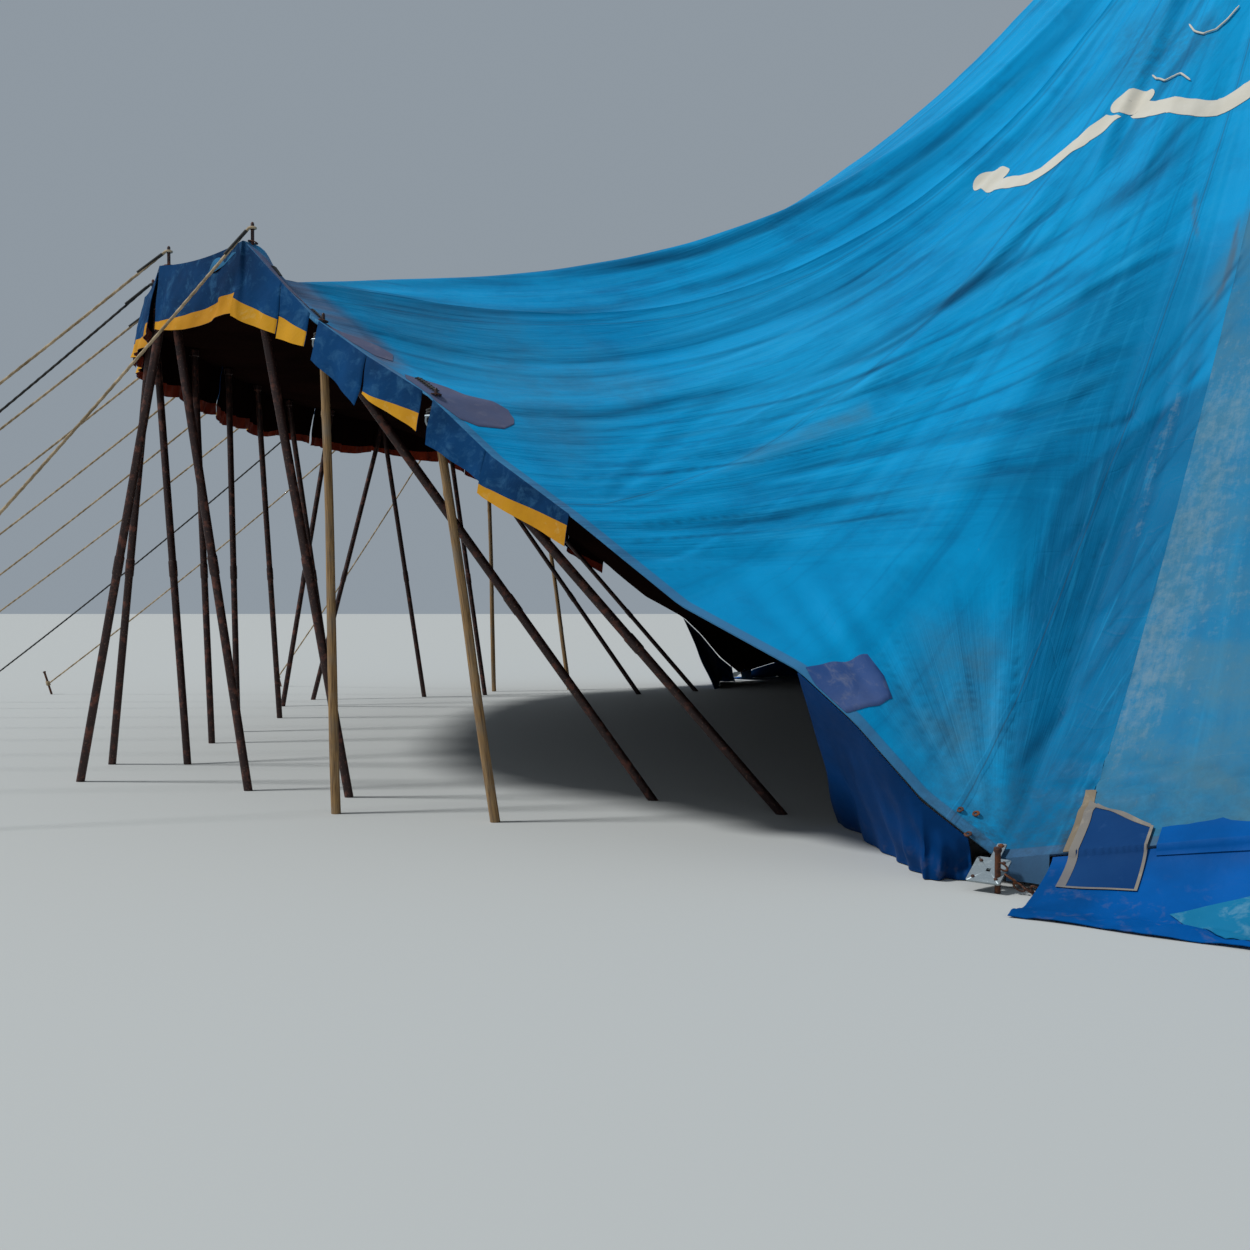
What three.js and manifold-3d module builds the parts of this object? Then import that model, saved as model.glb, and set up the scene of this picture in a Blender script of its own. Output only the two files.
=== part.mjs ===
// Circus big top: a one-mast tent whose membrane lifts to an entrance lip on poles and
// comes down to the ground all round the rest of its wall.
//
// Frame: millimetres, +Z up, origin at the middle of the mast's foot on the ground.
// The entrance faces -X. "Right" is -Y and "left" is +Y, as seen by someone walking in.
import * as THREE from 'three';
import { mergeVertices } from 'three/addons/utils/BufferGeometryUtils.js';
import Module from 'manifold-3d';

const wasm = await Module();
wasm.setup();

// Mast, crown ring and cap
const MAST_RADIUS = 100;
const MAST_TOP = 13000;
const MAST_SIDES = 24;
const BASE_PLATE = { width: 600, depth: 25 };
const CROWN_RADIUS = 300;
const CROWN_HEIGHT = 12500;
const RING = { inner: 262, outer: 299.1, below: 60, above: 30, sides: 48 };
const HUB_WALL = 32;
const SPOKE = { count: 4, width: 30, depth: 40 };
const CAP = { rim: 430, rimHeight: 12345, topHeight: 12885, depth: 15, sides: 24 };

// Fits
const SEAT_GAP = 0.4;
const GROMMET_PLAY = 0.5;
const FACET_TURN = 0.13;
const COLLAR = 130;

// Membrane: a plain shell stands for the cloth with its seams, hems and webbing
const SHELL_DEPTH = 20;
const HEAD_INSET = 60;
const ROWS = [0, 0.05, 0.12, 0.22, 0.34, 0.48, 0.62, 0.76, 0.89];

// How the membrane's section changes round the mast: angle from the entrance in degrees,
// the straight share of its fall and the power that hollows the rest
const SECTIONS = [
  { angle: 0, straight: 0, power: 2.46 },
  { angle: 11, straight: -0.12, power: 2.3 },
  { angle: 16, straight: -0.05, power: 2.48 },
  { angle: 21, straight: 0.03, power: 2.73 },
  { angle: 26, straight: -0.36, power: 2.19 },
  { angle: 38, straight: 0.06, power: 1.75 },
  { angle: 51.6, straight: 0.35, power: 1.37 },
];

// Entrance lip: tops of its poles on the right side, from the middle to the corner
const LIP_HEIGHT = 3900;
const LIP_HEADS = [
  [-12300, 0], [-12300, 1150], [-12250, 2400], [-11930, 3370], [-11440, 4440], [-10620, 5160],
];
// Feet of the pole or poles under each of those tops
const LIP_FEET = [
  [[-12100, 240]], [[-12050, 1300]], [[-11770, 2900]], [[-12420, 2900]],
  [[-12270, 3950], [-10820, 4430]], [[-10000, 4750]],
];
// Stakes of the guy ropes from those tops
const GUY_STAKES = [
  [-17400, 0], [-17400, 1250], [-17400, 2500], [-16700, 3500], [-16300, 4900], [-13400, 6500],
];

// Sloping edge from the lip's corner to the first ground corner: share of the way, height
const CORNER = [-6110, 7700];
const CORNER_HEIGHT = 140;
const EDGE = [
  [0, 3900], [0.123, 3310], [0.21, 3020], [0.304, 2740], [0.4, 2320], [0.508, 1950],
  [0.65, 1420], [0.789, 1070], [0.852, 800], [0.923, 420], [1, CORNER_HEIGHT],
];
const PROPS = [
  { at: 0.123, wood: [-9940, 5470], steel: [-7800, 4900] },
  { at: 0.304, wood: [-8840, 5800], steel: [-6950, 5500] },
];

// Closed wall: equal bays between ground corners, the hem lifting in the middle of each
const BAYS = 6;
const BAY_SHARES = [0, 0.05, 1 / 6, 1 / 3, 1 / 2, 2 / 3, 5 / 6, 0.95, 1];
const BAY_LIFT = 480;

// Poles
const POLE = { radius: 32, sides: 8, headRadius: 42, headDepth: 70, under: 12 };
const SPIKE = { radius: 12, above: 150, sides: 8 };
const PROP = { wood: 31, steel: 32, headRadius: 42, headDepth: 90, under: 50 };
const BURY = 80;

// Guy ropes
const ROPE = { radius: 11, sides: 7 };
const EYE = { radius: 30, depth: 24, above: 108, grip: 7 };
const STAKE = { radius: 15, top: 330, tie: 150, lean: 60 };

// Corner plates
const PLATE = { width: 180, depth: 12, slope: 32, out: 120, lift: 34, hole: 15 };
const TAB = { width: 50, length: 120, depth: 8 };
const BOLT = { radius: 10, inset: 35, above: 14, sides: 8 };
const PLATE_STAKE = { out: 150, aside: 60, top: 230 };

// Hanging cloth
const CLOTH_DEPTH = 15;
const VALANCE = { drop: 550, sideDrop: 240, flare: 120, until: 6 };
const SKIRT = { clear: 0.025, fold: 380, spread: 620 };
const CURTAIN = {
  from: 7,
  last: 0.97,
  offset: [-14, 6],
  feet: [[-6620, 5850], [-6500, 6650], [-6350, 7300], [-6200, 7560]],
};

const COLOURS = {
  azure: '#0f86bf', lip: '#2a7fb0', valance: '#124e8c', royal: '#0e66cc', steel: '#3a2b28',
  galvanised: '#8f979a', wood: '#a58255', rope: '#b9a384', rust: '#6d4433', canvas: '#1f6fa6',
};

const group = new THREE.Group();

/** Adds one named sub-part to the tent. */
function add(name, geometry, colour, roughness = 0.8, metalness = 0) {
  const material = new THREE.MeshStandardMaterial({ color: colour, roughness, metalness });
  const mesh = new THREE.Mesh(geometry, material);
  mesh.name = name;
  group.add(mesh);
}

/** A geometry as a solid that can be joined and cut. */
function solid(geometry) {
  const bare = geometry.index ? geometry.clone() : geometry;
  bare.deleteAttribute('normal');
  bare.deleteAttribute('uv');
  const merged = mergeVertices(bare, 1e-4);
  return new wasm.Manifold(new wasm.Mesh({
    numProp: 3,
    vertProperties: Float32Array.from(merged.attributes.position.array),
    triVerts: Uint32Array.from(merged.index.array),
  }));
}

/** The geometry of a solid. */
function geometryOf(body) {
  const mesh = body.getMesh();
  const geometry = new THREE.BufferGeometry();
  geometry.setAttribute('position', new THREE.BufferAttribute(mesh.vertProperties, 3));
  geometry.setIndex(new THREE.BufferAttribute(mesh.triVerts, 1));
  geometry.computeVertexNormals();
  return geometry;
}

/** An upright round post, its corners turned off the tent's own lines. */
function post([x, y], from, to, radius, sides) {
  const geometry = new THREE.CylinderGeometry(radius, radius, to - from, sides);
  geometry.rotateX(Math.PI / 2);
  geometry.rotateZ(FACET_TURN);
  geometry.translate(x, y, (from + to) / 2);
  return solid(geometry);
}

/** A round bar between two points, with a short collar of faces at each end. */
function bar(from, to, radius, sides) {
  const along = new THREE.Vector3().subVectors(to, from);
  const half = along.length() / 2;
  const geometry = new THREE.CylinderGeometry(radius, radius, 2 * half, sides, 3);
  const heights = geometry.attributes.position;
  for (let i = 0; i < heights.count; i += 1) {
    const y = heights.getY(i);
    if (Math.abs(y) < half / 2) heights.setY(i, Math.sign(y) * (half - COLLAR));
  }
  geometry.rotateY(FACET_TURN);
  const turn = new THREE.Quaternion().setFromUnitVectors(
    new THREE.Vector3(0, 1, 0), along.clone().normalize());
  geometry.applyQuaternion(turn);
  const middle = new THREE.Vector3().addVectors(from, to).multiplyScalar(0.5);
  geometry.translate(middle.x, middle.y, middle.z);
  return solid(geometry);
}

/** A bar from a point down to the ground, its foot cut level. */
function leg(top, [x, y], radius, sides) {
  const foot = new THREE.Vector3(x, y, 0);
  const along = foot.clone().sub(top).normalize();
  const buried = foot.clone().addScaledVector(along, BURY);
  const earth = new THREE.BoxGeometry(6 * BURY, 6 * BURY, 2 * BURY);
  earth.translate(x, y, -BURY);
  return bar(top, buried, radius, sides).subtract(solid(earth));
}

/** Mirrors a plan point to a side: -1 is right, +1 is left. */
const onSide = ([x, y], side) => [x, side * y];

/** Shares of the way between two numbers. */
const mix = (a, b, share) => a + (b - a) * share;

/** The angle of a plan point round the mast from the entrance side, in degrees. */
const angleOf = (x, y) => THREE.MathUtils.radToDeg(Math.atan2(Math.abs(y), -x));

const CORNER_ANGLE = angleOf(...CORNER);
const CORNER_RADIUS = Math.hypot(...CORNER);

/** The membrane's section at a plan point. */
function sectionAt(x, y) {
  const angle = angleOf(x, y);
  const next = SECTIONS.findIndex((section) => section.angle > angle);
  if (next < 0) return SECTIONS[SECTIONS.length - 1];
  const [a, b] = [SECTIONS[next - 1], SECTIONS[next]];
  const share = (angle - a.angle) / (b.angle - a.angle);
  return { straight: mix(a.straight, b.straight, share), power: mix(a.power, b.power, share) };
}

/** A point of the membrane's upper face: 0 at the crown and 1 at the hem. */
function membranePoint(hem, share) {
  const { straight, power } = sectionAt(hem.x, hem.y);
  const reach = Math.hypot(hem.x, hem.y);
  const radius = mix(CROWN_RADIUS, reach, share);
  const rise = straight * (1 - share) + (1 - straight) * (1 - share) ** power;
  return new THREE.Vector3(
    hem.x * radius / reach, hem.y * radius / reach, mix(hem.z, CROWN_HEIGHT, rise));
}

/** Where a pole's spike comes through the membrane, a little in from the hem. */
function headPoint(hem) {
  const reach = Math.hypot(hem.x, hem.y);
  return membranePoint(hem, 1 - HEAD_INSET / (reach - CROWN_RADIUS));
}

/** Moves a plan point round the mast by a small distance. */
function aside(point, distance) {
  const reach = Math.hypot(point.x, point.y);
  return new THREE.Vector3(
    point.x - point.y / reach * distance, point.y + point.x / reach * distance, point.z);
}

/** Moves a plan point away from the mast. */
function outward(point, distance, rise = 0) {
  const reach = Math.hypot(point.x, point.y);
  return new THREE.Vector3(
    point.x * (1 + distance / reach), point.y * (1 + distance / reach), point.z + rise);
}

/** Moves the first and last columns of a grid in, so that neighbours keep a seat gap. */
function lacedEdges(columns) {
  const before = columns[0][columns[0].length - 1];
  const after = columns[columns.length - 1][columns[0].length - 1];
  const turn = before.x * after.y - before.y * after.x;
  const way = Math.sign(turn) * SEAT_GAP / 2;
  const last = columns.length - 1;
  return columns.map((column, i) => {
    const shift = (i === 0 ? way : 0) - (i === last ? way : 0);
    return column.map((point) => aside(point, shift));
  });
}

/** A closed shell between two grids of points with the same columns and rows. */
function shell(face, back) {
  const columns = face.length;
  const rows = face[0].length;
  const positions = [...face.flat(), ...back.flat()].flatMap((p) => [p.x, p.y, p.z]);
  const half = columns * rows;
  const at = (i, j) => i * rows + j;
  const index = [];
  const quad = (a, b, c, d) => index.push(a, b, c, a, c, d);
  for (let i = 0; i + 1 < columns; i += 1) {
    for (let j = 0; j + 1 < rows; j += 1) {
      const [a, b, c, d] = [at(i, j), at(i + 1, j), at(i + 1, j + 1), at(i, j + 1)];
      index.push(a, b, c, a, c, d);
      index.push(half + a, half + c, half + b, half + a, half + d, half + c);
    }
  }
  for (let i = 0; i + 1 < columns; i += 1) {
    quad(at(i + 1, 0), at(i, 0), half + at(i, 0), half + at(i + 1, 0));
    quad(at(i, rows - 1), at(i + 1, rows - 1), half + at(i + 1, rows - 1), half + at(i, rows - 1));
  }
  for (let j = 0; j + 1 < rows; j += 1) {
    quad(at(0, j), at(0, j + 1), half + at(0, j + 1), half + at(0, j));
    quad(at(columns - 1, j + 1), at(columns - 1, j),
      half + at(columns - 1, j), half + at(columns - 1, j + 1));
  }
  const geometry = new THREE.BufferGeometry();
  geometry.setAttribute('position', new THREE.BufferAttribute(new Float32Array(positions), 3));
  geometry.setIndex(index);
  if (signedVolume(positions, index) < 0) {
    for (let k = 0; k < index.length; k += 3) {
      [index[k], index[k + 1]] = [index[k + 1], index[k]];
    }
    geometry.setIndex(index);
  }
  geometry.computeVertexNormals();
  return geometry;
}

/** The volume inside a closed mesh, negative when its faces point in. */
function signedVolume(positions, index) {
  const point = (i) => new THREE.Vector3().fromArray(positions, 3 * index[i]);
  let total = 0;
  for (let k = 0; k < index.length; k += 3) {
    total += point(k).dot(point(k + 1).cross(point(k + 2))) / 6;
  }
  return total;
}

/** The hem of the lip from its right corner to its left one, with a point between heads. */
function lipHem() {
  const right = LIP_HEADS.map((head) => onSide(head, -1)).reverse();
  const left = LIP_HEADS.slice(1).map((head) => onSide(head, 1));
  const heads = [...right, ...left].map(([x, y]) => new THREE.Vector3(x, y, LIP_HEIGHT));
  return heads.flatMap((head, i) => (
    i + 1 < heads.length ? [head, head.clone().lerp(heads[i + 1], 0.5)] : [head]));
}

/** A point of the sloping edge on a side. */
function edgePoint([share, height], side) {
  const [x, y] = onSide(LIP_HEADS[LIP_HEADS.length - 1], side);
  const [cx, cy] = onSide(CORNER, side);
  return new THREE.Vector3(mix(x, cx, share), mix(y, cy, share), height);
}

/** The sloping hem on a side, from the lip's corner to the ground corner. */
const edgeHem = (side) => EDGE.map((knot) => edgePoint(knot, side));

/** The hem of one closed bay, counted from the right ground corner round the back. */
function bayHem(bay) {
  const bayAngle = (360 - 2 * CORNER_ANGLE) / BAYS;
  return BAY_SHARES.map((share) => {
    const angle = THREE.MathUtils.degToRad(180 + CORNER_ANGLE + (bay + share) * bayAngle);
    return new THREE.Vector3(
      CORNER_RADIUS * Math.cos(angle), CORNER_RADIUS * Math.sin(angle),
      CORNER_HEIGHT + BAY_LIFT * Math.sin(Math.PI * share));
  });
}

/** One membrane panel from the crown to its hem, with holes cut for what comes through. */
function panel(name, hem, colour, cutters) {
  const columns = hem.map((knot) => [
    ...ROWS.map((share) => membranePoint(knot, share)), headPoint(knot), knot.clone()]);
  const face = lacedEdges(columns);
  const back = face.map((column) => column.map((p) => new THREE.Vector3(p.x, p.y, p.z - SHELL_DEPTH)));
  let body = solid(shell(face, back));
  cutters.forEach((cutter) => { body = body.subtract(cutter); });
  add(name, geometryOf(body), colour, 0.6);
}

/** The hole that a spike needs. */
function grommetHole(head) {
  return post([head.x, head.y], head.z - 200, head.z + 200,
    SPIKE.radius + GROMMET_PLAY, SPIKE.sides);
}

/** The hole that the bolt of a corner plate needs. */
function boltHole(corner) {
  const spot = outward(corner, -BOLT.inset);
  return post([spot.x, spot.y], spot.z - 200, spot.z + 300,
    BOLT.radius + GROMMET_PLAY, BOLT.sides);
}

/** The mast: base plate, tube and top. */
function mast() {
  const plate = new THREE.BoxGeometry(BASE_PLATE.width, BASE_PLATE.width, BASE_PLATE.depth);
  plate.translate(0, 0, BASE_PLATE.depth / 2);
  const tube = post([0, 0], BASE_PLATE.depth / 2, MAST_TOP, MAST_RADIUS, MAST_SIDES);
  add('king_pole', geometryOf(solid(plate).add(tube)), COLOURS.galvanised, 0.45, 0.9);
}

/** The ring that the panels hang from, held to the mast by a hub and spokes. */
function crownRing() {
  const low = CROWN_HEIGHT - RING.below;
  const high = CROWN_HEIGHT + RING.above;
  const hub = post([0, 0], low, high, MAST_RADIUS + HUB_WALL, MAST_SIDES);
  let body = post([0, 0], low, high, RING.outer, RING.sides)
    .subtract(post([0, 0], low - 1, high + 1, RING.inner, RING.sides))
    .add(hub);
  for (let i = 0; i < SPOKE.count; i += 1) {
    const reach = RING.inner + 10;
    const spoke = new THREE.BoxGeometry(reach, SPOKE.width, SPOKE.depth);
    spoke.translate(reach / 2, 0, (low + high) / 2);
    spoke.rotateZ((i + 0.5) * 2 * Math.PI / SPOKE.count);
    body = body.add(solid(spoke));
  }
  const bore = post([0, 0], low - 1, high + 1, MAST_RADIUS + SEAT_GAP, MAST_SIDES);
  add('crown_ring', geometryOf(body.subtract(bore)), COLOURS.steel, 0.6, 0.8);
}

/** The cloth cap that sheds rain over the ring. */
function peakCap() {
  const neck = MAST_RADIUS + SEAT_GAP;
  const profile = [
    [neck, CAP.topHeight - 2 * CAP.depth], [CAP.rim, CAP.rimHeight],
    [CAP.rim, CAP.rimHeight + CAP.depth], [neck + CAP.depth, CAP.topHeight],
    [neck, CAP.topHeight], [neck, CAP.topHeight - 2 * CAP.depth],
  ].map(([r, z]) => new THREE.Vector2(r, z));
  const cone = new THREE.LatheGeometry(profile, CAP.sides);
  cone.rotateX(Math.PI / 2);
  cone.rotateZ(FACET_TURN);
  add('peak_cap', geometryOf(solid(cone)), COLOURS.canvas, 0.7);
}

/** A steel pole or pair of poles under one top of the lip, with the spike that carries it. */
function lipPole(name, hem, feet, under) {
  const head = headPoint(hem);
  const top = head.z - SHELL_DEPTH - under;
  const spot = [head.x, head.y];
  let body = post(spot, top - POLE.headDepth, top, POLE.headRadius, SPIKE.sides)
    .add(post(spot, top - 1, head.z + SPIKE.above, SPIKE.radius, SPIKE.sides));
  const joint = new THREE.Vector3(head.x, head.y, top - POLE.headDepth * 0.6);
  feet.forEach((foot) => { body = body.add(leg(joint, foot, POLE.radius, POLE.sides)); });
  add(name, geometryOf(body), COLOURS.steel, 0.6, 0.7);
}

/** A wooden prop and the steel stay lashed to its top, under the sloping edge. */
function sideProp(name, hem, prop, side) {
  const head = headPoint(hem);
  const top = head.z - SHELL_DEPTH - PROP.under;
  const spot = [head.x, head.y];
  const joint = new THREE.Vector3(head.x, head.y, top - PROP.headDepth * 0.6);
  const body = post(spot, top - PROP.headDepth, top, PROP.headRadius, SPIKE.sides)
    .add(post(spot, top - 1, head.z + SPIKE.above, SPIKE.radius, SPIKE.sides))
    .add(leg(joint, onSide(prop.wood, side), PROP.wood, POLE.sides))
    .add(leg(joint, onSide(prop.steel, side), PROP.steel, POLE.sides));
  add(name, geometryOf(body), COLOURS.wood, 0.85);
}

/** A guy rope from the eye on a spike to its stake. */
function guy(name, hem, [x, y]) {
  const head = headPoint(hem);
  const eyeHeight = head.z + EYE.above;
  const spot = [head.x, head.y];
  const tie = new THREE.Vector3(x, y, STAKE.tie);
  const away = tie.clone().sub(new THREE.Vector3(head.x, head.y, eyeHeight)).setZ(0).normalize();
  const start = new THREE.Vector3(head.x, head.y, eyeHeight)
    .addScaledVector(away, EYE.radius - EYE.grip);
  const stakeTop = tie.clone().addScaledVector(away, STAKE.lean).setZ(STAKE.top);
  const stakeFoot = onLine(stakeTop, tie);
  const body = post(spot, eyeHeight - EYE.depth / 2, eyeHeight + EYE.depth / 2,
    EYE.radius, SPIKE.sides)
    .subtract(post(spot, eyeHeight - EYE.depth, eyeHeight + EYE.depth,
      SPIKE.radius + GROMMET_PLAY, SPIKE.sides))
    .add(bar(start, tie, ROPE.radius, ROPE.sides))
    .add(leg(stakeTop, stakeFoot, STAKE.radius, POLE.sides));
  add(name, geometryOf(body), COLOURS.rope, 0.9);
}

/** Where the line through two points meets the ground. */
function onLine(top, lower) {
  const share = top.z / (top.z - lower.z);
  return [mix(top.x, lower.x, share), mix(top.y, lower.y, share)];
}

/** The steel plate at a ground corner, bolted to the membrane and held by a stake. */
function cornerPlate(name, corner) {
  const slope = THREE.MathUtils.degToRad(PLATE.slope);
  const turn = Math.atan2(corner.y, corner.x);
  const lift = corner.z + PLATE.lift;
  const place = (geometry, out, across) => {
    geometry.translate(0, across, 0);
    geometry.rotateY(slope);
    geometry.translate(out, 0, lift - out * Math.tan(slope));
    geometry.rotateZ(turn);
    geometry.translate(corner.x, corner.y, 0);
    return solid(geometry);
  };
  const hole = new THREE.CylinderGeometry(PLATE.hole, PLATE.hole, 4 * PLATE.depth, BOLT.sides);
  hole.rotateX(Math.PI / 2);
  const tabOut = PLATE.out - (PLATE.width * Math.cos(slope)) / 2 - TAB.length / 2 + 15;
  const bolt = outward(corner, -BOLT.inset);
  const stake = aside(outward(corner, PLATE_STAKE.out), PLATE_STAKE.aside);
  const boltTop = lift + BOLT.inset * Math.tan(slope) + BOLT.above;
  const body = place(new THREE.BoxGeometry(PLATE.width, PLATE.width, PLATE.depth), PLATE.out, 0)
    .subtract(place(hole, PLATE.out, 0))
    .add(place(new THREE.BoxGeometry(TAB.length, TAB.width, TAB.depth), tabOut, 0))
    .add(post([bolt.x, bolt.y], corner.z - 30, boltTop, BOLT.radius, BOLT.sides))
    .add(post([stake.x, stake.y], 0, PLATE_STAKE.top, STAKE.radius, POLE.sides));
  add(name, geometryOf(body), COLOURS.galvanised, 0.55, 0.8);
}

/** The valance along a hem: its drop goes from the first number to the second. */
function valance(name, hem, firstDrop, lastDrop) {
  const face = hem.map((knot, i) => {
    const drop = mix(firstDrop, lastDrop, i / (hem.length - 1));
    const flare = VALANCE.flare * drop / VALANCE.drop;
    return [0, 0.5, 1].map((share) => (
      outward(knot, SEAT_GAP + CLOTH_DEPTH + flare * share, -drop * share)));
  });
  const laced = lacedEdges(face);
  const back = laced.map((column) => column.map((p) => outward(p, -CLOTH_DEPTH)));
  add(name, shell(laced, back), COLOURS.valance, 0.75);
}

/** The ground skirt of one bay: down from the hem, then spread over the ground. */
function groundSkirt(name, hem) {
  const [first, second] = hem;
  const [beforeLast, last] = hem.slice(-2);
  const part = SKIRT.clear / BAY_SHARES[1];
  const knots = [
    first.clone().lerp(second, part), ...hem.slice(1, -1), last.clone().lerp(beforeLast, part)];
  const face = knots.map((knot) => {
    const top = outward(knot, 0, -SHELL_DEPTH - SEAT_GAP);
    const fold = outward(knot, SKIRT.fold).setZ(CLOTH_DEPTH);
    return [top, top.clone().lerp(fold, 0.55), fold, outward(knot, SKIRT.spread).setZ(CLOTH_DEPTH)];
  });
  const back = face.map((column) => column.map((p) => (
    new THREE.Vector3(p.x, p.y, p.z - CLOTH_DEPTH))));
  add(name, shell(face, back), COLOURS.royal, 0.7);
}

/** The side curtain that hangs under the low end of the sloping edge. */
function sideCurtain(name, side) {
  const knots = EDGE.slice(CURTAIN.from, -1);
  const [before, after] = EDGE.slice(-2);
  const part = (CURTAIN.last - before[0]) / (after[0] - before[0]);
  knots.push([CURTAIN.last, mix(before[1], after[1], part)]);
  const [ox, oy] = onSide(CURTAIN.offset, -side);
  const back = knots.map((knot, i) => {
    const top = edgePoint(knot, side);
    top.z -= SHELL_DEPTH + SEAT_GAP;
    const foot = new THREE.Vector3(...onSide(CURTAIN.feet[i], side), 0);
    return [0, 0.5, 1].map((share) => top.clone().lerp(foot, share));
  });
  const face = back.map((column) => column.map((p) => new THREE.Vector3(p.x + ox, p.y - oy, p.z)));
  add(name, shell(face, back), COLOURS.royal, 0.7);
}

/** Membrane panels round the whole tent. */
function membrane() {
  const lip = lipHem();
  const heads = lip.filter((_, i) => i % 2 === 0);
  panel('roof_entrance_lip', lip, COLOURS.lip, heads.map((hem) => grommetHole(headPoint(hem))));
  for (const [word, side] of [['right', -1], ['left', 1]]) {
    const hem = edgeHem(side);
    const wall = side < 0 ? bayHem(0) : bayHem(BAYS - 1).reverse();
    const holes = PROPS.map((prop) => (
      grommetHole(headPoint(hem[EDGE.findIndex(([share]) => share === prop.at)]))));
    panel(`roof_side_${word}`, [...hem, wall[1]], COLOURS.azure,
      [grommetHole(headPoint(hem[0])), ...holes, boltHole(hem[hem.length - 1])]);
  }
  for (let bay = 0; bay < BAYS; bay += 1) {
    const hem = bayHem(bay);
    const from = bay === 0 ? 1 : 0;
    const until = bay === BAYS - 1 ? hem.length - 1 : hem.length;
    const corners = [];
    if (from === 0) corners.push(hem[0]);
    if (until === hem.length) corners.push(hem[hem.length - 1]);
    panel(`roof_wall_${bay + 1}`, hem.slice(from, until), COLOURS.azure, corners.map(boltHole));
    groundSkirt(`ground_skirt_${bay + 1}`, hem);
  }
}

/** Poles, props and guys, right and left. */
function entranceFrame() {
  LIP_HEADS.forEach((head, i) => {
    for (const [word, side] of [['right', -1], ['left', 1]]) {
      if (i === 0 && side > 0) continue;
      const [x, y] = onSide(head, side);
      const hem = new THREE.Vector3(x, y, LIP_HEIGHT);
      const place = i === 0 ? 'middle' : `${word}_${i}`;
      const under = i === LIP_HEADS.length - 1 ? PROP.under : POLE.under;
      lipPole(`lip_pole_${place}`, hem, LIP_FEET[i].map((foot) => onSide(foot, side)), under);
      guy(`guy_${place}`, hem, onSide(GUY_STAKES[i], side));
    }
  });
  for (const [word, side] of [['right', -1], ['left', 1]]) {
    PROPS.forEach((prop, i) => {
      const knot = EDGE.find(([share]) => share === prop.at);
      sideProp(`side_prop_${word}_${i + 1}`, edgePoint(knot, side), prop, side);
    });
  }
}

/** The valances and curtains of the entrance. */
function entranceCloth() {
  valance('valance_front', lipHem(), VALANCE.drop, VALANCE.drop);
  for (const [word, side] of [['right', -1], ['left', 1]]) {
    const hem = edgeHem(side).slice(0, VALANCE.until);
    valance(`valance_${word}`, hem, VALANCE.drop, VALANCE.sideDrop);
    sideCurtain(`side_curtain_${word}`, side);
  }
}

/** Plates at the ground corners. */
function cornerPlates() {
  for (let bay = 0; bay < BAYS; bay += 1) cornerPlate(`corner_plate_${bay + 1}`, bayHem(bay)[0]);
  cornerPlate(`corner_plate_${BAYS + 1}`, bayHem(BAYS - 1)[BAY_SHARES.length - 1]);
}

mast();
crownRing();
peakCap();
membrane();
entranceFrame();
entranceCloth();
cornerPlates();

export default group;
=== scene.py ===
"""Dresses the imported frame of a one-mast circus big top: cloth, poles, ropes and steel.

Every new surface is a function of two numbers, worked out with numpy on a grid, in metres and
in the frame of the CAD part: the mast's foot is the origin, the entrance faces -X, the right
side of the tent is -Y and the left side +Y.
"""

import logging
import math
from dataclasses import dataclass, field
from enum import Enum
from functools import cached_property
from typing import Any, Iterable, Sequence

import bpy
import numpy as np
from numpy.typing import NDArray
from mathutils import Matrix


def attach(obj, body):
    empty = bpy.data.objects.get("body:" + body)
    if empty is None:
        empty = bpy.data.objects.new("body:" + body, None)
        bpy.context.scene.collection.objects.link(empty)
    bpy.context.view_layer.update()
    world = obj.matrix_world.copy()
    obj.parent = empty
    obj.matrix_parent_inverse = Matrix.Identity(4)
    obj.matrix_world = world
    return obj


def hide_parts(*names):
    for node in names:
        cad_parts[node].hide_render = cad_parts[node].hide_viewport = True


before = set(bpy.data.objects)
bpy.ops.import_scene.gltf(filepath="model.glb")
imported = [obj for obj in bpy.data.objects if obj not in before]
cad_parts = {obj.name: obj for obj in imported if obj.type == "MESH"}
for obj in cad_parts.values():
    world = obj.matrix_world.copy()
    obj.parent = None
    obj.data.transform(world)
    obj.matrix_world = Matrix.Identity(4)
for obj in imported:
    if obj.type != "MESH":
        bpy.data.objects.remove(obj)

Array = NDArray[np.float64]
LOG = logging.getLogger("big_top")
# Metres between pieces that sit against each other
SEAT_GAP = 0.0004
UP = np.array([0.0, 0.0, 1.0])
AHEAD = np.array([1.0, 0.0, 0.0])
# The sign of g on each side of the tent, and the side's name
SIDES = ((1, "right"), (-1, "left"))
# Bays, then ground corners, in order from the right round the back: number and side
BAYS = ((0, 1), (1, 1), (2, 1), (2, -1), (1, -1), (0, -1))
CORNERS = (*BAYS[:3], (3, 1), *BAYS[3:])
# Metres down the cloth for each unit of u, near the hem
BAY_FALL = 10.8


def soft_step(value: Any, low: float, high: float) -> Any:
    """Goes smoothly from 0 at low to 1 at high: t squared times (3 - 2t).

    Args:
        value: Numbers to step.
        low: Where the step starts.
        high: Where it ends.

    Returns:
        Numbers from 0 to 1 in the same shape.
    """
    share = np.clip((np.asarray(value, float) - low) / (high - low), 0.0, 1.0)
    return share * share * (3.0 - 2.0 * share)


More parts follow.
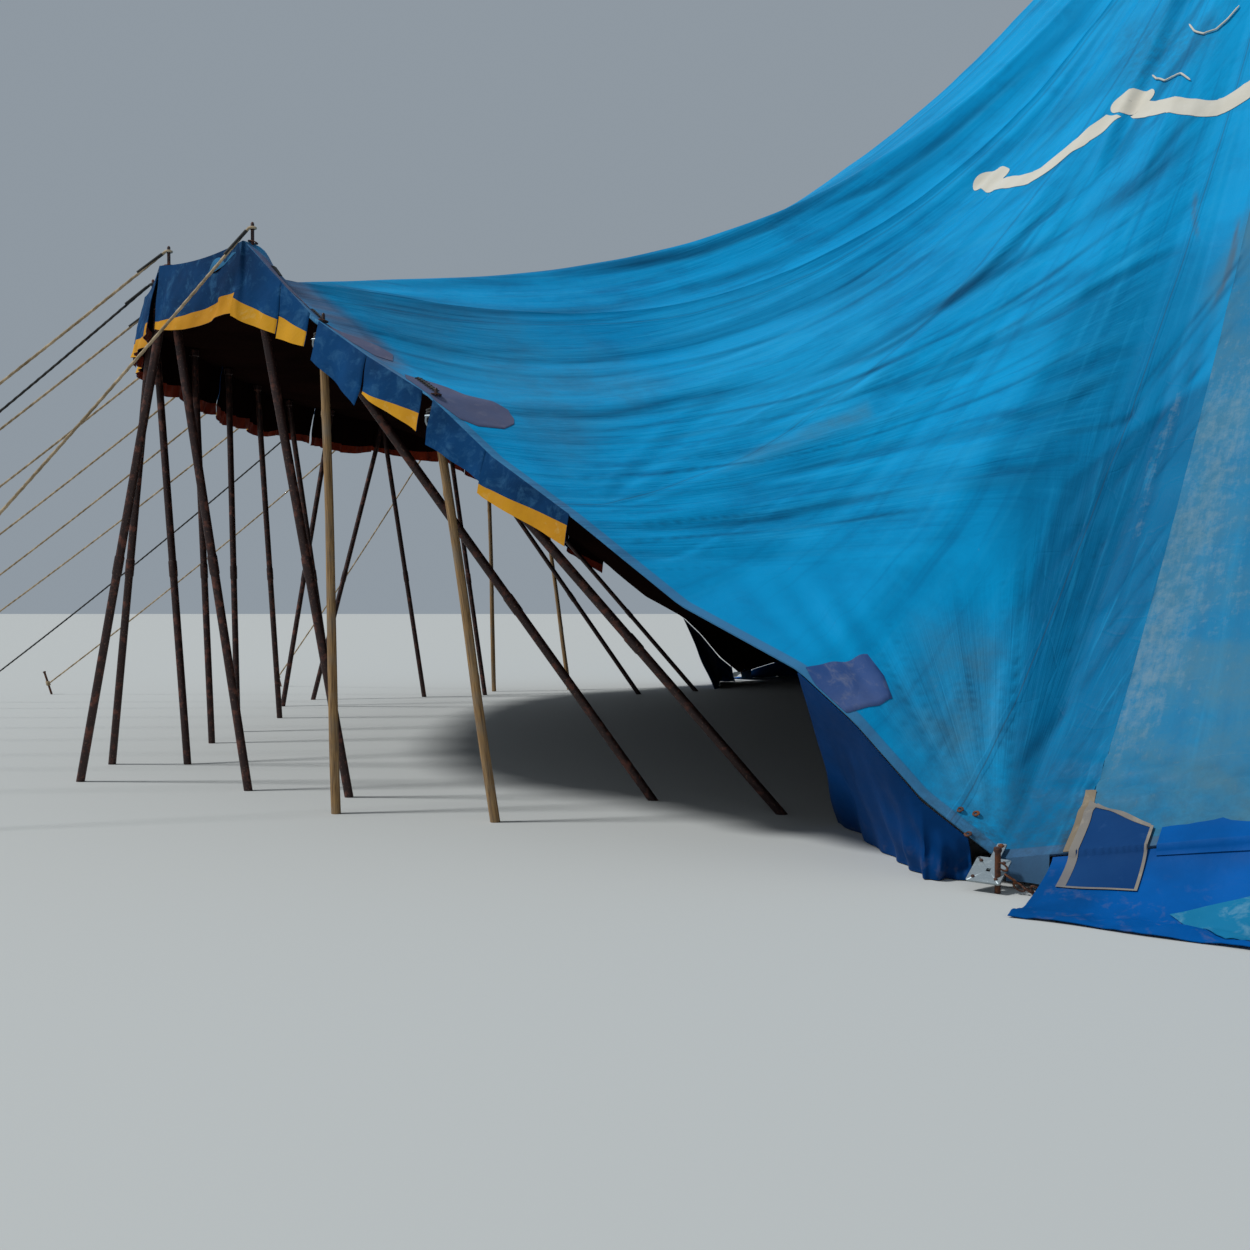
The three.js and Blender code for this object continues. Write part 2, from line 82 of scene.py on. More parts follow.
def ripples(places: Array, wavelength: float, seed: int) -> Array:
    """A smooth, seeded unevenness of about -1 to 1: a sum of sines in random directions.

    Args:
        places: Points, any shape ending in 3.
        wavelength: Middle wavelength in the points' own unit.
        seed: Seed of the directions and phases.

    Returns:
        One number for each point.
    """
    waves = 9
    draw = np.random.default_rng(seed)
    ways = draw.normal(size=(waves, 3))
    ways *= (draw.uniform(0.7, 1.5, waves) * 2 * np.pi / wavelength
             / np.linalg.norm(ways, axis=1))[:, None]
    shifts = draw.uniform(0, 2 * np.pi, waves)
    return np.sin(places @ ways.T + shifts).sum(-1) / math.sqrt(waves) * 0.7


def linear(code: str) -> tuple[float, float, float, float]:
    """The linear colour of an sRGB hex value such as '#1270dc'.

    Args:
        code: The hex value.

    Returns:
        Red, green, blue and alpha.
    """
    parts = [int(code[i:i + 2], 16) / 255 for i in (1, 3, 5)]
    red, green, blue = (
        p / 12.92 if p <= 0.04045 else ((p + 0.055) / 1.055) ** 2.4 for p in parts)
    return red, green, blue, 1.0


# the tent's form


@dataclass(frozen=True)
class TentForm:
    """The membrane as a function of g, metres along its hem from the middle of the entrance
    (right side positive, left side negative), and u, 0 at the crown and 1 at the hem."""

    crown_radius: float = 0.3
    crown_height: float = 12.5
    lip_height: float = 3.9
    lip_heads: tuple = (
        (-12.3, 0.0), (-12.3, 1.15), (-12.25, 2.4), (-11.93, 3.37), (-11.44, 4.44),
        (-10.62, 5.16))
    lip_sag: float = 0.04
    corner: tuple = (-6.11, 7.7)
    corner_height: float = 0.14
    edge_shares: tuple = (0, 0.123, 0.21, 0.304, 0.4, 0.508, 0.65, 0.789, 0.852, 0.923, 1)
    edge_heights: tuple = (3.9, 3.31, 3.02, 2.74, 2.32, 1.95, 1.42, 1.07, 0.8, 0.42, 0.14)
    bays: int = 6
    bay_lift: float = 0.48
    seam_share: float = 0.05
    head_inset: float = 0.06
    section_angles: tuple = (0, 11, 16, 21, 26, 38, 51.6)
    section_straights: tuple = (0, -0.12, -0.05, 0.03, -0.36, 0.06, 0.35)
    section_powers: tuple = (2.46, 2.3, 2.48, 2.73, 2.19, 1.75, 1.37)
    span_rows: int = 40
    edge_rows: int = 320
    bay_rows: int = 240

    @cached_property
    def hem_table(self) -> tuple[Array, Array]:
        """Distances along the right half of the hem, and the hem's points there.

        Returns:
            The distances, and the points of shape (rows, 3).
        """
        t = np.linspace(0, 1, self.span_rows + 1)[:-1, None]
        heads = np.array([(x, -y, self.lip_height) for x, y in self.lip_heads])
        spans = [a + (b - a) * t - UP * self.lip_sag * 4 * t * (1 - t)
                 for a, b in zip(heads[:-1], heads[1:])]
        share = np.linspace(0, 1, self.edge_rows + 1)[:, None]
        foot = np.array([self.corner[0], -self.corner[1]])
        plan = heads[-1, :2] + (foot - heads[-1, :2]) * share
        edge = np.hstack([plan, np.interp(share, self.edge_shares, self.edge_heights)])
        bays = np.linspace(0, 3, 3 * self.bay_rows + 1)[1:]
        turn = np.radians(180 + self.corner_angle + self.bay_angle * bays)
        lift = np.abs(np.sin(np.pi * bays))
        wall = np.stack([self.corner_radius * np.cos(turn), self.corner_radius * np.sin(turn),
                         self.corner_height + self.bay_lift * lift], -1)
        points = np.vstack([*spans, edge, wall])
        steps = np.linalg.norm(np.diff(points, axis=0), axis=1)
        return np.concatenate([[0.0], np.cumsum(steps)]), points

    @property
    def corner_angle(self) -> float:
        """The first ground corner's angle from the entrance, in degrees."""
        return math.degrees(math.atan2(self.corner[1], -self.corner[0]))

    @property
    def corner_radius(self) -> float:
        """How far the ground corners stand from the mast."""
        return math.hypot(*self.corner)

    @property
    def bay_angle(self) -> float:
        """The angle of one closed bay, in degrees."""
        return (360 - 2 * self.corner_angle) / self.bays

    def hem(self, g: Any) -> Array:
        """The hem's points at distances g: read off the table, mirrored where g is negative.

        Args:
            g: Distances along the hem.

        Returns:
            Points, one for each distance.
        """
        g = np.asarray(g, float)
        distances, points = self.hem_table
        found = np.stack([np.interp(np.abs(g), distances, points[:, k]) for k in range(3)], -1)
        found[..., 1] *= np.where(g < 0, -1.0, 1.0)
        return found

    def at_row(self, row: Any) -> Any:
        """The distance g of a row of the hem's table, or of places between its rows."""
        distances, _ = self.hem_table
        return np.interp(row, np.arange(len(distances)), distances)

    def at_head(self, head: Any) -> Any:
        """The distance g of a lip head, 0 in the middle and 5 at the corner."""
        return self.at_row(self.span_rows * head)

    def at_edge(self, share: Any) -> Any:
        """The distance g of a place on the sloping edge."""
        return self.at_row(self.span_rows * 5 + self.edge_rows * share)

    def at_bay(self, bays: Any) -> Any:
        """The distance g after so many closed bays, 0 at the first ground corner."""
        return self.at_row(self.span_rows * 5 + self.edge_rows + self.bay_rows * bays)

    def sections(self, hem: Array) -> tuple[Array, Array]:
        """The straight share and the power of the membrane's fall at hem points.

        Args:
            hem: Points of the hem.

        Returns:
            The shares and the powers.
        """
        angle = np.degrees(np.arctan2(np.abs(hem[..., 1]), -hem[..., 0]))
        return (np.interp(angle, self.section_angles, self.section_straights),
                np.interp(angle, self.section_angles, self.section_powers))

    def point(self, g: Any, u: Any) -> Array:
        """The smooth membrane: radius goes evenly from crown to hem, and height falls by
        straight (1 - u) + (1 - straight) (1 - u) to the power.

        Args:
            g: Distances along the hem.
            u: Shares of the way from the crown, of a shape that goes with g's.

        Returns:
            Points, in the shape of g and u together.
        """
        g, u = np.broadcast_arrays(np.asarray(g, float), np.asarray(u, float))
        hem = self.hem(g)
        straight, power = self.sections(hem)
        reach = np.hypot(hem[..., 0], hem[..., 1])
        radius = self.crown_radius + (reach - self.crown_radius) * u
        left = np.clip(1 - u, 0, 1)
        rise = straight * left + (1 - straight) * left ** power
        height = hem[..., 2] + (self.crown_height - hem[..., 2]) * rise
        return np.stack([hem[..., 0] * radius / reach, hem[..., 1] * radius / reach, height], -1)

    def lift(self, g: Any, u: Any) -> Array:
        """The direction out of the membrane: square to its meridian, away from the hall.

        Args:
            g: Distances along the hem.
            u: Shares of the way from the crown.

        Returns:
            Unit directions, in the shape of g and u together.
        """
        g, u = np.broadcast_arrays(np.asarray(g, float), np.asarray(u, float))
        ahead = self.point(g, np.clip(u + 0.004, 0, 1)) - self.point(g, np.clip(u - 0.004, 0, 1))
        run = np.hypot(ahead[..., 0], ahead[..., 1])
        away = self.outward(g)
        tall = np.hypot(run, ahead[..., 2])[..., None]
        return (away * -ahead[..., 2:] + UP * run[..., None]) / tall

    def outward(self, g: Any) -> Array:
        """Level unit directions away from the mast at distances g."""
        flat = self.hem(g) * (1.0, 1.0, 0.0)
        return flat / np.linalg.norm(flat, axis=-1, keepdims=True)

    def head_share(self, g: float) -> float:
        """The u of the spike holes, a little in from the hem."""
        x, y, _ = self.hem(g)
        return 1 - self.head_inset / (math.hypot(x, y) - self.crown_radius)

    def head(self, g: float) -> Array:
        """The point on the membrane where a spike comes through."""
        return self.point(g, self.head_share(g))

    def even_shares(self, g: float, rows: int) -> Array:
        """Values of u that part the meridian at g into lengths that are equal below and
        three times as long near the crown.

        Args:
            g: The meridian's distance along the hem.
            rows: How many values.

        Returns:
            The values, from 0 to 1.
        """
        fine = np.linspace(0, 1, 400)
        walk = np.linalg.norm(np.diff(self.point(g, fine), axis=0), axis=1)
        walk *= 0.3 + 0.7 * soft_step(fine[1:], 0.18, 0.36)
        run = np.concatenate([[0.0], np.cumsum(walk)])
        return np.interp(np.linspace(0, run[-1], rows), run, fine)


@dataclass(frozen=True)
class PhotoPlane:
    """The photograph's camera, and where a point of the tent stands in its 1250 pixels."""

    eye: tuple = (-8.0, -14.5, 1.5)
    focal_pixels: float = 1350.0
    middle: float = 625.0
    horizon_above: float = 35.0
    width: float = 1250.0
    sensor: float = 36.0

    @property
    def pitch(self) -> float:
        """How far the camera looks down, in radians."""
        return math.atan(self.horizon_above / self.focal_pixels)

    def pixels(self, places: Array) -> tuple[Array, Array, Array]:
        """Pixel columns, pixel rows and depths of points, the left side seen mirrored.

        Args:
            places: Points, any shape ending in 3.

        Returns:
            The columns, the rows and the depths.
        """
        away = places * (1.0, 1.0, 1.0)
        away[..., 1] = -np.abs(away[..., 1])
        away = away - np.array(self.eye)
        c, s = math.cos(self.pitch), math.sin(self.pitch)
        depth = np.maximum(away[..., 1] * c - away[..., 2] * s, 0.2)
        high = away[..., 1] * s + away[..., 2] * c
        return (self.middle + self.focal_pixels * away[..., 0] / depth,
                self.middle - self.focal_pixels * high / depth, depth)

    def camera(self) -> None:
        """Makes the camera and gives it to the scene."""
        data = bpy.data.cameras.new("photo_camera")
        data.sensor_width = self.sensor
        data.lens = self.sensor * self.focal_pixels / self.width
        data.clip_end = 400.0
        eye = bpy.data.objects.new("photo_camera", data)
        eye.location = self.eye
        eye.rotation_euler = (math.pi / 2 - self.pitch, 0.0, 0.0)
        bpy.context.scene.collection.objects.link(eye)
        bpy.context.scene.camera = eye


@dataclass(frozen=True)
class Fold:
    """A crease that starts at a pixel of the photograph and runs on at an angle above the
    level; its lengths, width and depth are in metres on the cloth."""

    column: float
    row: float
    angle: float
    begins: float
    ends: float
    depth: float
    width: float
    spread: float = 0.02

    def height(self, columns: Array, rows: Array, depths: Array, focal: float) -> Array:
        """A ridge with a valley beside it: two bell curves across the crease, which grow and
        fade along it.

        Args:
            columns: Pixel columns of the points.
            rows: Pixel rows of the points.
            depths: How far the points are from the camera.
            focal: The camera's focal length in pixels.

        Returns:
            The crease's height at each point.
        """
        scale = depths / focal
        right = (columns - self.column) * scale
        above = (self.row - rows) * scale
        a = math.radians(self.angle)
        along = right * math.cos(a) + above * math.sin(a)
        across = above * math.cos(a) - right * math.sin(a)
        wide = self.width + self.spread * np.clip(along, 0, None)
        shape = np.exp(-(across / wide) ** 2) - 0.8 * np.exp(-((across + 1.7 * wide) / wide) ** 2)
        length = self.ends - self.begins
        grow = soft_step(along, self.begins, self.begins + 0.16 * length)
        fade = 1 - soft_step(along, self.begins + 0.6 * length, self.ends)
        return self.depth * shape * grow * fade


@dataclass(frozen=True)
class Stroke:
    """A soft line of the photograph: its points in pixels, half its width, the panels that
    show it, how strong it is, and how far it lifts the cloth in metres."""

    points: tuple
    half: float = 4.0
    node: str = "roof"
    weight: float = 1.0
    lift: float = 0.0

    def share(self, columns: Array, rows: Array) -> Array:
        """One on the line and nothing at half its width, fading towards both ends: the
        distance to its nearest step, and the run to the nearest place on it.

        Args:
            columns: Pixel columns of the points.
            rows: Pixel rows of the points.

        Returns:
            Numbers from 0 to 1.
        """
        least, where, run = np.full(columns.shape, 1e9), np.zeros(columns.shape), 0.0
        for (x0, y0), (x1, y1) in zip(self.points[:-1], self.points[1:]):
            dx, dy = x1 - x0, y1 - y0
            size = math.hypot(dx, dy)
            t = np.clip(((columns - x0) * dx + (rows - y0) * dy) / size ** 2, 0, 1)
            off = np.hypot(columns - x0 - t * dx, rows - y0 - t * dy)
            where = np.where(off < least, run + t * size, where)
            least = np.minimum(least, off)
            run += size
        fade = soft_step(where, 0, 0.18 * run) * (1 - soft_step(where, 0.8 * run, run))
        return (1 - soft_step(least, 0.25 * self.half, self.half)) * (0.15 + 0.85 * fade)


@dataclass(frozen=True)
class Region:
    """A soft-edged area of the photograph: its corners in pixels, in order round it."""

    corners: tuple
    soft: float = 10.0
    node: str = "roof"

    def share(self, columns: Array, rows: Array) -> Array:
        """How far inside points lie: the smallest distance to any side, in softness.

        Args:
            columns: Pixel columns of the points.
            rows: Pixel rows of the points.

        Returns:
            Numbers from 0 to 1.
        """
        ring = np.array(self.corners, float)
        after = np.roll(ring, -1, 0)
        turn = np.sign(np.sum(ring[:, 0] * after[:, 1] - after[:, 0] * ring[:, 1]))
        inside = np.full(columns.shape, 1e9)
        for (x0, y0), (x1, y1) in zip(ring, after):
            size = math.hypot(x1 - x0, y1 - y0)
            side = ((x1 - x0) * (rows - y0) - (y1 - y0) * (columns - x0)) / size * turn
            inside = np.minimum(inside, side)
        return soft_step(inside, 0.0, self.soft)


# Dark folds and bright ones of the photograph, in its pixels: the dark ones are painted on the
# roof as shade and the bright ones as highlights, and those with a lift also lift the cloth
VALLEYS = (
    Stroke(((560, 275), (612, 267), (646, 261), (700, 250), (740, 236), (771, 224), (791, 212),
            (834, 188), (870, 158), (905, 128), (948, 92), (1000, 44), (1046, 0), (1070, -30)),
           8, "roof", 1.7, -0.016),
    Stroke(((790, 222), (845, 198), (885, 182), (950, 134), (1010, 84), (1060, 44), (1125, 0),
            (1160, -30)), 6, "roof", 1.2, -0.014),
    Stroke(((1222, 0), (1190, 52), (1150, 104), (1115, 160), (1093, 178)), 7, "roof", 0.8,
           -0.012),
    Stroke(((1086, 180), (1070, 195), (1036, 224), (1014, 248), (992, 265), (960, 292),
            (924, 323)), 6, "roof_side", 0.75, -0.010),
    Stroke(((1190, 244), (1154, 260), (1118, 279), (1084, 299), (1057, 316), (1009, 338),
            (960, 359), (900, 384)), 7, "roof_side", 0.75, -0.012),
    Stroke(((864, 397), (938, 379), (990, 362)), 9, "roof_side", 0.5, -0.008),
    Stroke(((1030, 384), (1075, 371), (1118, 354), (1150, 348)), 9, "roof_side", 0.4, -0.008),
    Stroke(((990, 415), (1036, 417), (1070, 405), (1106, 381)), 7, "roof_side", 0.5, -0.008),
    Stroke(((1060, 434), (1113, 425), (1140, 412)), 5, "roof_side", 0.6, -0.006),
    Stroke(((987, 469), (1036, 468), (1089, 454)), 7, "roof_side", 0.5, -0.008),
    Stroke(((760, 474), (860, 452), (960, 435), (1040, 421)), 10, "roof_side", 0.4, -0.008),
    Stroke(((700, 500), (820, 487), (940, 474), (1030, 470)), 12, "roof_side", 0.35, -0.008),
    Stroke(((700, 530), (820, 522), (960, 514)), 12, "roof_side", 0.3, -0.006),
    Stroke(((735, 437), (789, 413), (850, 385), (905, 352)), 4, "roof_side", 0.5, -0.006),
    Stroke(((976, 850), (1000, 867), (1022, 879), (1054, 888)), 2.6, "roof_side", 1.0, 0.0),
    Stroke(((1018, 640), (1012, 720), (1010, 790)), 3, "roof_side", 0.5, -0.004),
    Stroke(((1110, 520), (1098, 560), (1078, 620), (1062, 700)), 6, "roof_side", 0.4, -0.008),
    Stroke(((1225, 290), (1208, 330), (1190, 380), (1160, 470), (1130, 560), (1105, 650)), 6,
           "roof_side", 0.35, -0.006),
    Stroke(((300, 279), (430, 282), (560, 279)), 9, "roof", 0.5, 0.0))
RIDGES = (
    Stroke(((684, 378), (742, 353), (783, 337), (810, 322), (834, 306), (867, 286)), 3,
           "roof_side", 0.75, 0.004),
    Stroke(((691, 453), (738, 431), (789, 404), (844, 373), (885, 347), (914, 329), (942, 304),
            (994, 258), (1014, 238), (1045, 207)), 4, "roof_side", 0.7, 0.010),
    Stroke(((732, 443), (783, 426), (811, 416), (854, 392), (895, 367), (926, 351)), 5,
           "roof_side", 0.8, 0.012),
    Stroke(((711, 471), (762, 459), (813, 443), (875, 426), (926, 407), (958, 402)), 5,
           "roof_side", 0.6, 0.012),
    Stroke(((1070, 211), (1036, 248), (1004, 277), (980, 294), (934, 325)), 5, "roof_side",
           0.5, 0.008),
    Stroke(((1118, 271), (1055, 307), (1030, 318), (980, 341), (951, 355)), 5, "roof_side",
           0.5, 0.012),
    Stroke(((1130, 335), (1098, 345), (1070, 354), (1036, 371)), 7, "roof_side", 0.5, 0.010),
    Stroke(((1113, 374), (1070, 393), (1021, 408)), 7, "roof_side", 0.45, 0.010),
    Stroke(((1106, 425), (1057, 434), (997, 447), (900, 462)), 7, "roof_side", 0.4, 0.008),
    Stroke(((1045, 476), (992, 483), (900, 494), (780, 505)), 8, "roof_side", 0.35, 0.008),
    Stroke(((1142, 202), (1121, 245)), 3, "roof_side", 0.8, 0.002),
    Stroke(((640, 298), (668, 294), (700, 284)), 8, "roof_side", 0.4, 0.0),
    Stroke(((700, 280), (746, 269), (783, 253), (817, 239)), 3, "roof_side", 0.5, 0.002),
    Stroke(((885, 274), (926, 251), (960, 231), (985, 214)), 4, "roof_side", 0.5, 0.003),
    Stroke(((838, 343), (860, 332), (881, 326)), 9, "roof_side", 0.45, 0.0),
    Stroke(((300, 290), (340, 302), (400, 318), (470, 326), (560, 328)), 2.5, "roof", 0.6, 0.002),
    Stroke(((330, 300), (400, 330), (470, 352), (560, 358)), 3, "roof", 0.4, 0.002),
    Stroke(((500, 398), (540, 398), (600, 400)), 3, "roof", 0.8, 0.002),
    Stroke(((380, 336), (440, 360), (500, 372), (560, 374)), 3, "roof", 0.4, 0.002),
    Stroke(((400, 352), (470, 376), (540, 386)), 2.5, "roof", 0.4, 0.002))
# The ridge that crosses the long folds
CROSSING = Stroke(((1055, 338), (1026, 372), (1004, 408), (985, 434), (914, 512), (902, 529)),
                  2.5, "roof_side", 0.35, 0.003)
# Lines that the long folds follow, on to the peak outside the picture
LONG_RUNS = (
    ((1039, 0), (1130, -115), (1250, -275), (1370, -434)),
    ((1125, 0), (1250, -200), (1370, -434)), ((1222, 0), (1300, -210), (1375, -434)),
    ((1300, 60), (1345, -180), (1380, -434)), ((565, 535), (700, 545), (850, 550), (1000, 540)),
    ((284, 273), (340, 274), (483, 275), (579, 268), (640, 252), (691, 242), (754, 223),
     (809, 194), (860, 157), (934, 97), (1039, 0)))
FORM = TentForm()
PHOTO = PhotoPlane()


@dataclass(frozen=True)
class FoldGrain:
    """How the long folds run between the ties and the peak: a polynomial over the photograph
    that keeps its value along every measured line and grows by one a pixel across them, so
    waves of it are folds that run with the measured ones."""

    degree: int = 4
    middle: tuple = (800.0, 250.0)
    size: tuple = (500.0, 400.0)
    firm: float = 0.2
    lowest: float = 545.0
    shortest: float = 60.0

    def terms(self, places: Array) -> Array:
        """The polynomial's terms at pixels: x to the i times y to the j.

        Args:
            places: Pixels (column, row), any shape ending in 2.

        Returns:
            The terms, along a last axis of their own.
        """
        x = (places[..., 0] - self.middle[0]) / self.size[0]
        y = (places[..., 1] - self.middle[1]) / self.size[1]
        return np.stack([x ** i * y ** j for i in range(self.degree + 1)
                         for j in range(self.degree + 1 - i) if i + j], -1)

    @cached_property
    def weights(self) -> Array:
        """The terms' weights, by least squares over the steps of every long line: no change
        along a step, and one a pixel across it.

        Returns:
            One weight for each term.
        """
        lines = [np.array(line.points, float) for line in VALLEYS + RIDGES]
        lines = [line for line in lines if line[:, 1].max() < self.lowest
                 and np.ptp(line[:, 0]) > self.shortest]
        lines += [np.array(line, float) for line in LONG_RUNS]
        held, wanted = [], []
        for line in lines:
            a, b = line[:-1], line[1:]
            size = np.linalg.norm(b - a, axis=1)[:, None]
            beside = np.stack([b[:, 1] - a[:, 1], a[:, 0] - b[:, 0]], -1) / size
            beside *= -np.sign(beside[:, 1:] + 1e-9)
            heavy, middle = np.sqrt(size / 50), (a + b) / 2
            held.append((self.terms(b) - self.terms(a)) / size * heavy)
            wanted.append(np.zeros(len(a)))
            held.append((self.terms(middle + 5 * beside) - self.terms(middle - 5 * beside)) / 10
                        * heavy * self.firm)
            wanted.append(self.firm * heavy[:, 0])
        return np.linalg.lstsq(np.vstack(held), np.concatenate(wanted), rcond=None)[0]

    def across(self, columns: Array, rows: Array) -> Array:
        """The number that stays the same along a fold, in pixels across it."""
        return self.terms(np.stack([columns, rows], -1)) @ self.weights


GRAIN = FoldGrain()


@dataclass(frozen=True)
class FoldBundle:
    """Many folds side by side, in an area of the photograph: their distance apart in pixels
    and their depth in metres."""

    apart: float
    depth: float
    seed: float

    def shape(self, across: Array) -> tuple[Array, Array]:
        """Sharp valleys between round ridges, unevenly spaced and of uneven depth: the sine's
        size to the power 0.7.

        Args:
            across: The number that stays the same along a fold.

        Returns:
            Heights in metres, and 0 to 1 where a valley is.
        """
        s = across / self.apart
        s = s + 0.40 * np.sin(0.71 * s + self.seed) + 0.33 * np.sin(0.31 * s + 2 * self.seed)
        deep = np.clip(0.5 + 0.6 * np.sin(1.7 * s + 3 * self.seed), 0.06, 1)
        wave = np.abs(np.sin(np.pi * s))
        return self.depth * deep * (wave ** 0.7 - 0.7), deep * np.exp(-(wave / 0.3) ** 2)


@dataclass(frozen=True)
class Creases:
    """All that lifts the cloth off its smooth form, in metres."""

    tie: tuple = (556.0, 528.0)
    tie_rays: tuple = (
        (41.0, 0.010, 2.4), (27.4, 0.012, 3.2), (18.4, 0.012, 3.6), (6.3, 0.012, 3.4),
        (-5.0, 0.010, 2.8))
    foot: tuple = (996.0, 872.0)
    foot_rays: tuple = (
        (139.0, 0.016, 2.3), (134.0, 0.024, 2.7), (129.0, 0.022, 2.6), (122.0, 0.020, 2.4),
        (112.0, 0.006, 1.8), (100.0, 0.008, 2.0), (88.0, 0.006, 2.0), (76.0, 0.006, 2.8))
    peak_drop: float = 0.17
    lone_folds: tuple = (
        Fold(1093, 176, 65.0, -0.1, 2.6, 0.030, 0.045, 0.004),
        Fold(1250, 800, 176.0, -0.6, 1.3, 0.024, 0.030, 0.0),
        Fold(1250, 780, 173.0, -0.6, 1.2, 0.022, 0.028, 0.0),
        Fold(1250, 819, 178.0, -0.6, 1.2, 0.024, 0.028, 0.0),
        Fold(905, 795, 62.0, -0.1, 0.9, 0.008, 0.020, 0.0),
        Fold(1013, 640, 258.0, 0.0, 1.4, 0.008, 0.020, 0.0))
    long_area: Region = Region(((130, 150), (500, 610), (900, 580), (1100, 500), (1250, 180),
                                (1400, -500), (900, -500)), 70)
    long_bundles: tuple = (FoldBundle(58, 0.034, 1.0), FoldBundle(27, 0.014, 2.3),
                           FoldBundle(13, 0.005, 0.4))
    foot_area: Region = Region(((996, 880), (800, 682), (870, 600), (1120, 330), (1260, 190),
                                (1300, 240), (1110, 880)), 60)
    foot_bundles: tuple = (FoldBundle(44, 0.009, 0.6), FoldBundle(21, 0.004, 1.9))
    foot_scale: float = 330.0
    crumple_area: Region = Region(((1003, 880), (1010, 660), (1085, 430), (1250, 200),
                                   (1275, 215), (1085, 880)), 26)
    crumple_bundles: tuple = (FoldBundle(38, 0.020, 3.1), FoldBundle(17, 0.009, 4.4))
    crumple_angle: float = 52.0
    pleats: tuple = (
        (8.0, 0.016), (13.0, 0.018), (18.5, 0.02), (23.0, 0.022), (27.6, 0.03), (29.6, 0.022),
        (31.5, 0.014), (34.5, 0.008))

    @cached_property
    def folds(self) -> tuple:
        """Every crease that was measured in the photograph.

        Returns:
            The creases, fans first.
        """
        fan = [Fold(*self.tie, angle, 0.15, reach, depth, 0.028, 0.026)
               for angle, depth, reach in self.tie_rays]
        low = [Fold(*self.foot, angle, 0.1, reach, depth, 0.022, 0.026)
               for angle, depth, reach in self.foot_rays]
        return (*fan, *low, *self.lone_folds)

    def seen(self, places: Array) -> Array:
        """The creases measured in the photograph, on both sides of the tent.

        Args:
            places: Points of the smooth membrane.

        Returns:
            Heights in metres.
        """
        columns, rows, depths = PHOTO.pixels(places)
        near = 1 - soft_step(places[..., 0], -3.2, -1.6)
        total = sum(fold.height(columns, rows, depths, PHOTO.focal_pixels)
                    for fold in self.folds)
        for line in VALLEYS + RIDGES:
            if line.lift:
                total = total + line.lift * line.share(columns, rows)
        total = total + CROSSING.lift * CROSSING.share(columns, rows)
        total = total + self.bundled(columns, rows)[0]
        return total * near * soft_step(np.abs(places[..., 1]), 0.6, 2.4)

    def fan_share(self, columns: Array, rows: Array) -> Array:
        """Where the corner's fan shows: short above the sloping edge, long beside the seam.

        Args:
            columns: Pixel columns of the points.
            rows: Pixel rows of the points.

        Returns:
            Numbers from 0 to 1.
        """
        right, above = columns - self.foot[0], self.foot[1] - rows
        angle = np.degrees(np.arctan2(above, right))
        reach = 330 + 420 * soft_step(-angle, -90, -72)
        far = np.hypot(right, above)
        return self.foot_area.share(columns, rows) * soft_step(far, 40, 200) \
            * (1 - soft_step(far, 0.6 * reach, reach))

    def bundled(self, columns: Array, rows: Array) -> tuple[Array, Array]:
        """The folds between the measured ones: long ones that run with the grain, and ones
        that spread from the corner plate.

        Args:
            columns: Pixel columns of the points.
            rows: Pixel rows of the points.

        Returns:
            Heights in metres, and 0 to 1 where a valley is.
        """
        right, above = columns - self.foot[0], self.foot[1] - rows
        lean = math.radians(self.crumple_angle)
        places = np.stack([columns, rows, 0 * rows], -1)
        height, valley = 0.0, 0.0
        for inside, bundles, across, slow in (
                (self.long_area.share(columns, rows), self.long_bundles,
                 GRAIN.across(columns, rows), 160.0),
                (self.fan_share(columns, rows), self.foot_bundles,
                 self.foot_scale * np.arctan2(above, right), 110.0),
                (self.crumple_area.share(columns, rows), self.crumple_bundles,
                 right * math.sin(lean) - above * math.cos(lean), 46.0)):
            for k, bundle in enumerate(bundles):
                bend = 0.16 * bundle.apart * ripples(places, 240.0, 70 + k)
                lift, deep = bundle.shape(across + bend)
                live = inside * np.clip(0.62 + 0.6 * ripples(places, slow, 80 + k), 0.05, 1.2)
                height = height + lift * live
                valley = np.maximum(valley, deep * live)
        return height, np.clip(valley, 0, 1)

    def pulled(self, g: Array, u: Array, places: Array) -> Array:
        """Folds that rise from every ground corner: rays round the corner, each a sine of the
        angle that fades with distance.

        Args:
            g: Distances along the hem.
            u: Shares of the way from the crown.
            places: The smooth membrane's points there.

        Returns:
            Heights in metres.
        """
        total = np.zeros(places.shape[:-1])
        for bays in range(1, 4):
            along = np.abs(g) - FORM.at_bay(bays)
            reach = (1 - u) * 11.0
            length = np.hypot(along, reach)
            angle = np.arctan2(reach, along)
            rays = np.sin(angle * 17 + bays) + 0.6 * np.sin(angle * 29 + 2 * bays)
            total += 0.009 * rays * soft_step(length, 0.2, 0.8) * (1 - soft_step(length, 1.4, 3.6))
        return total

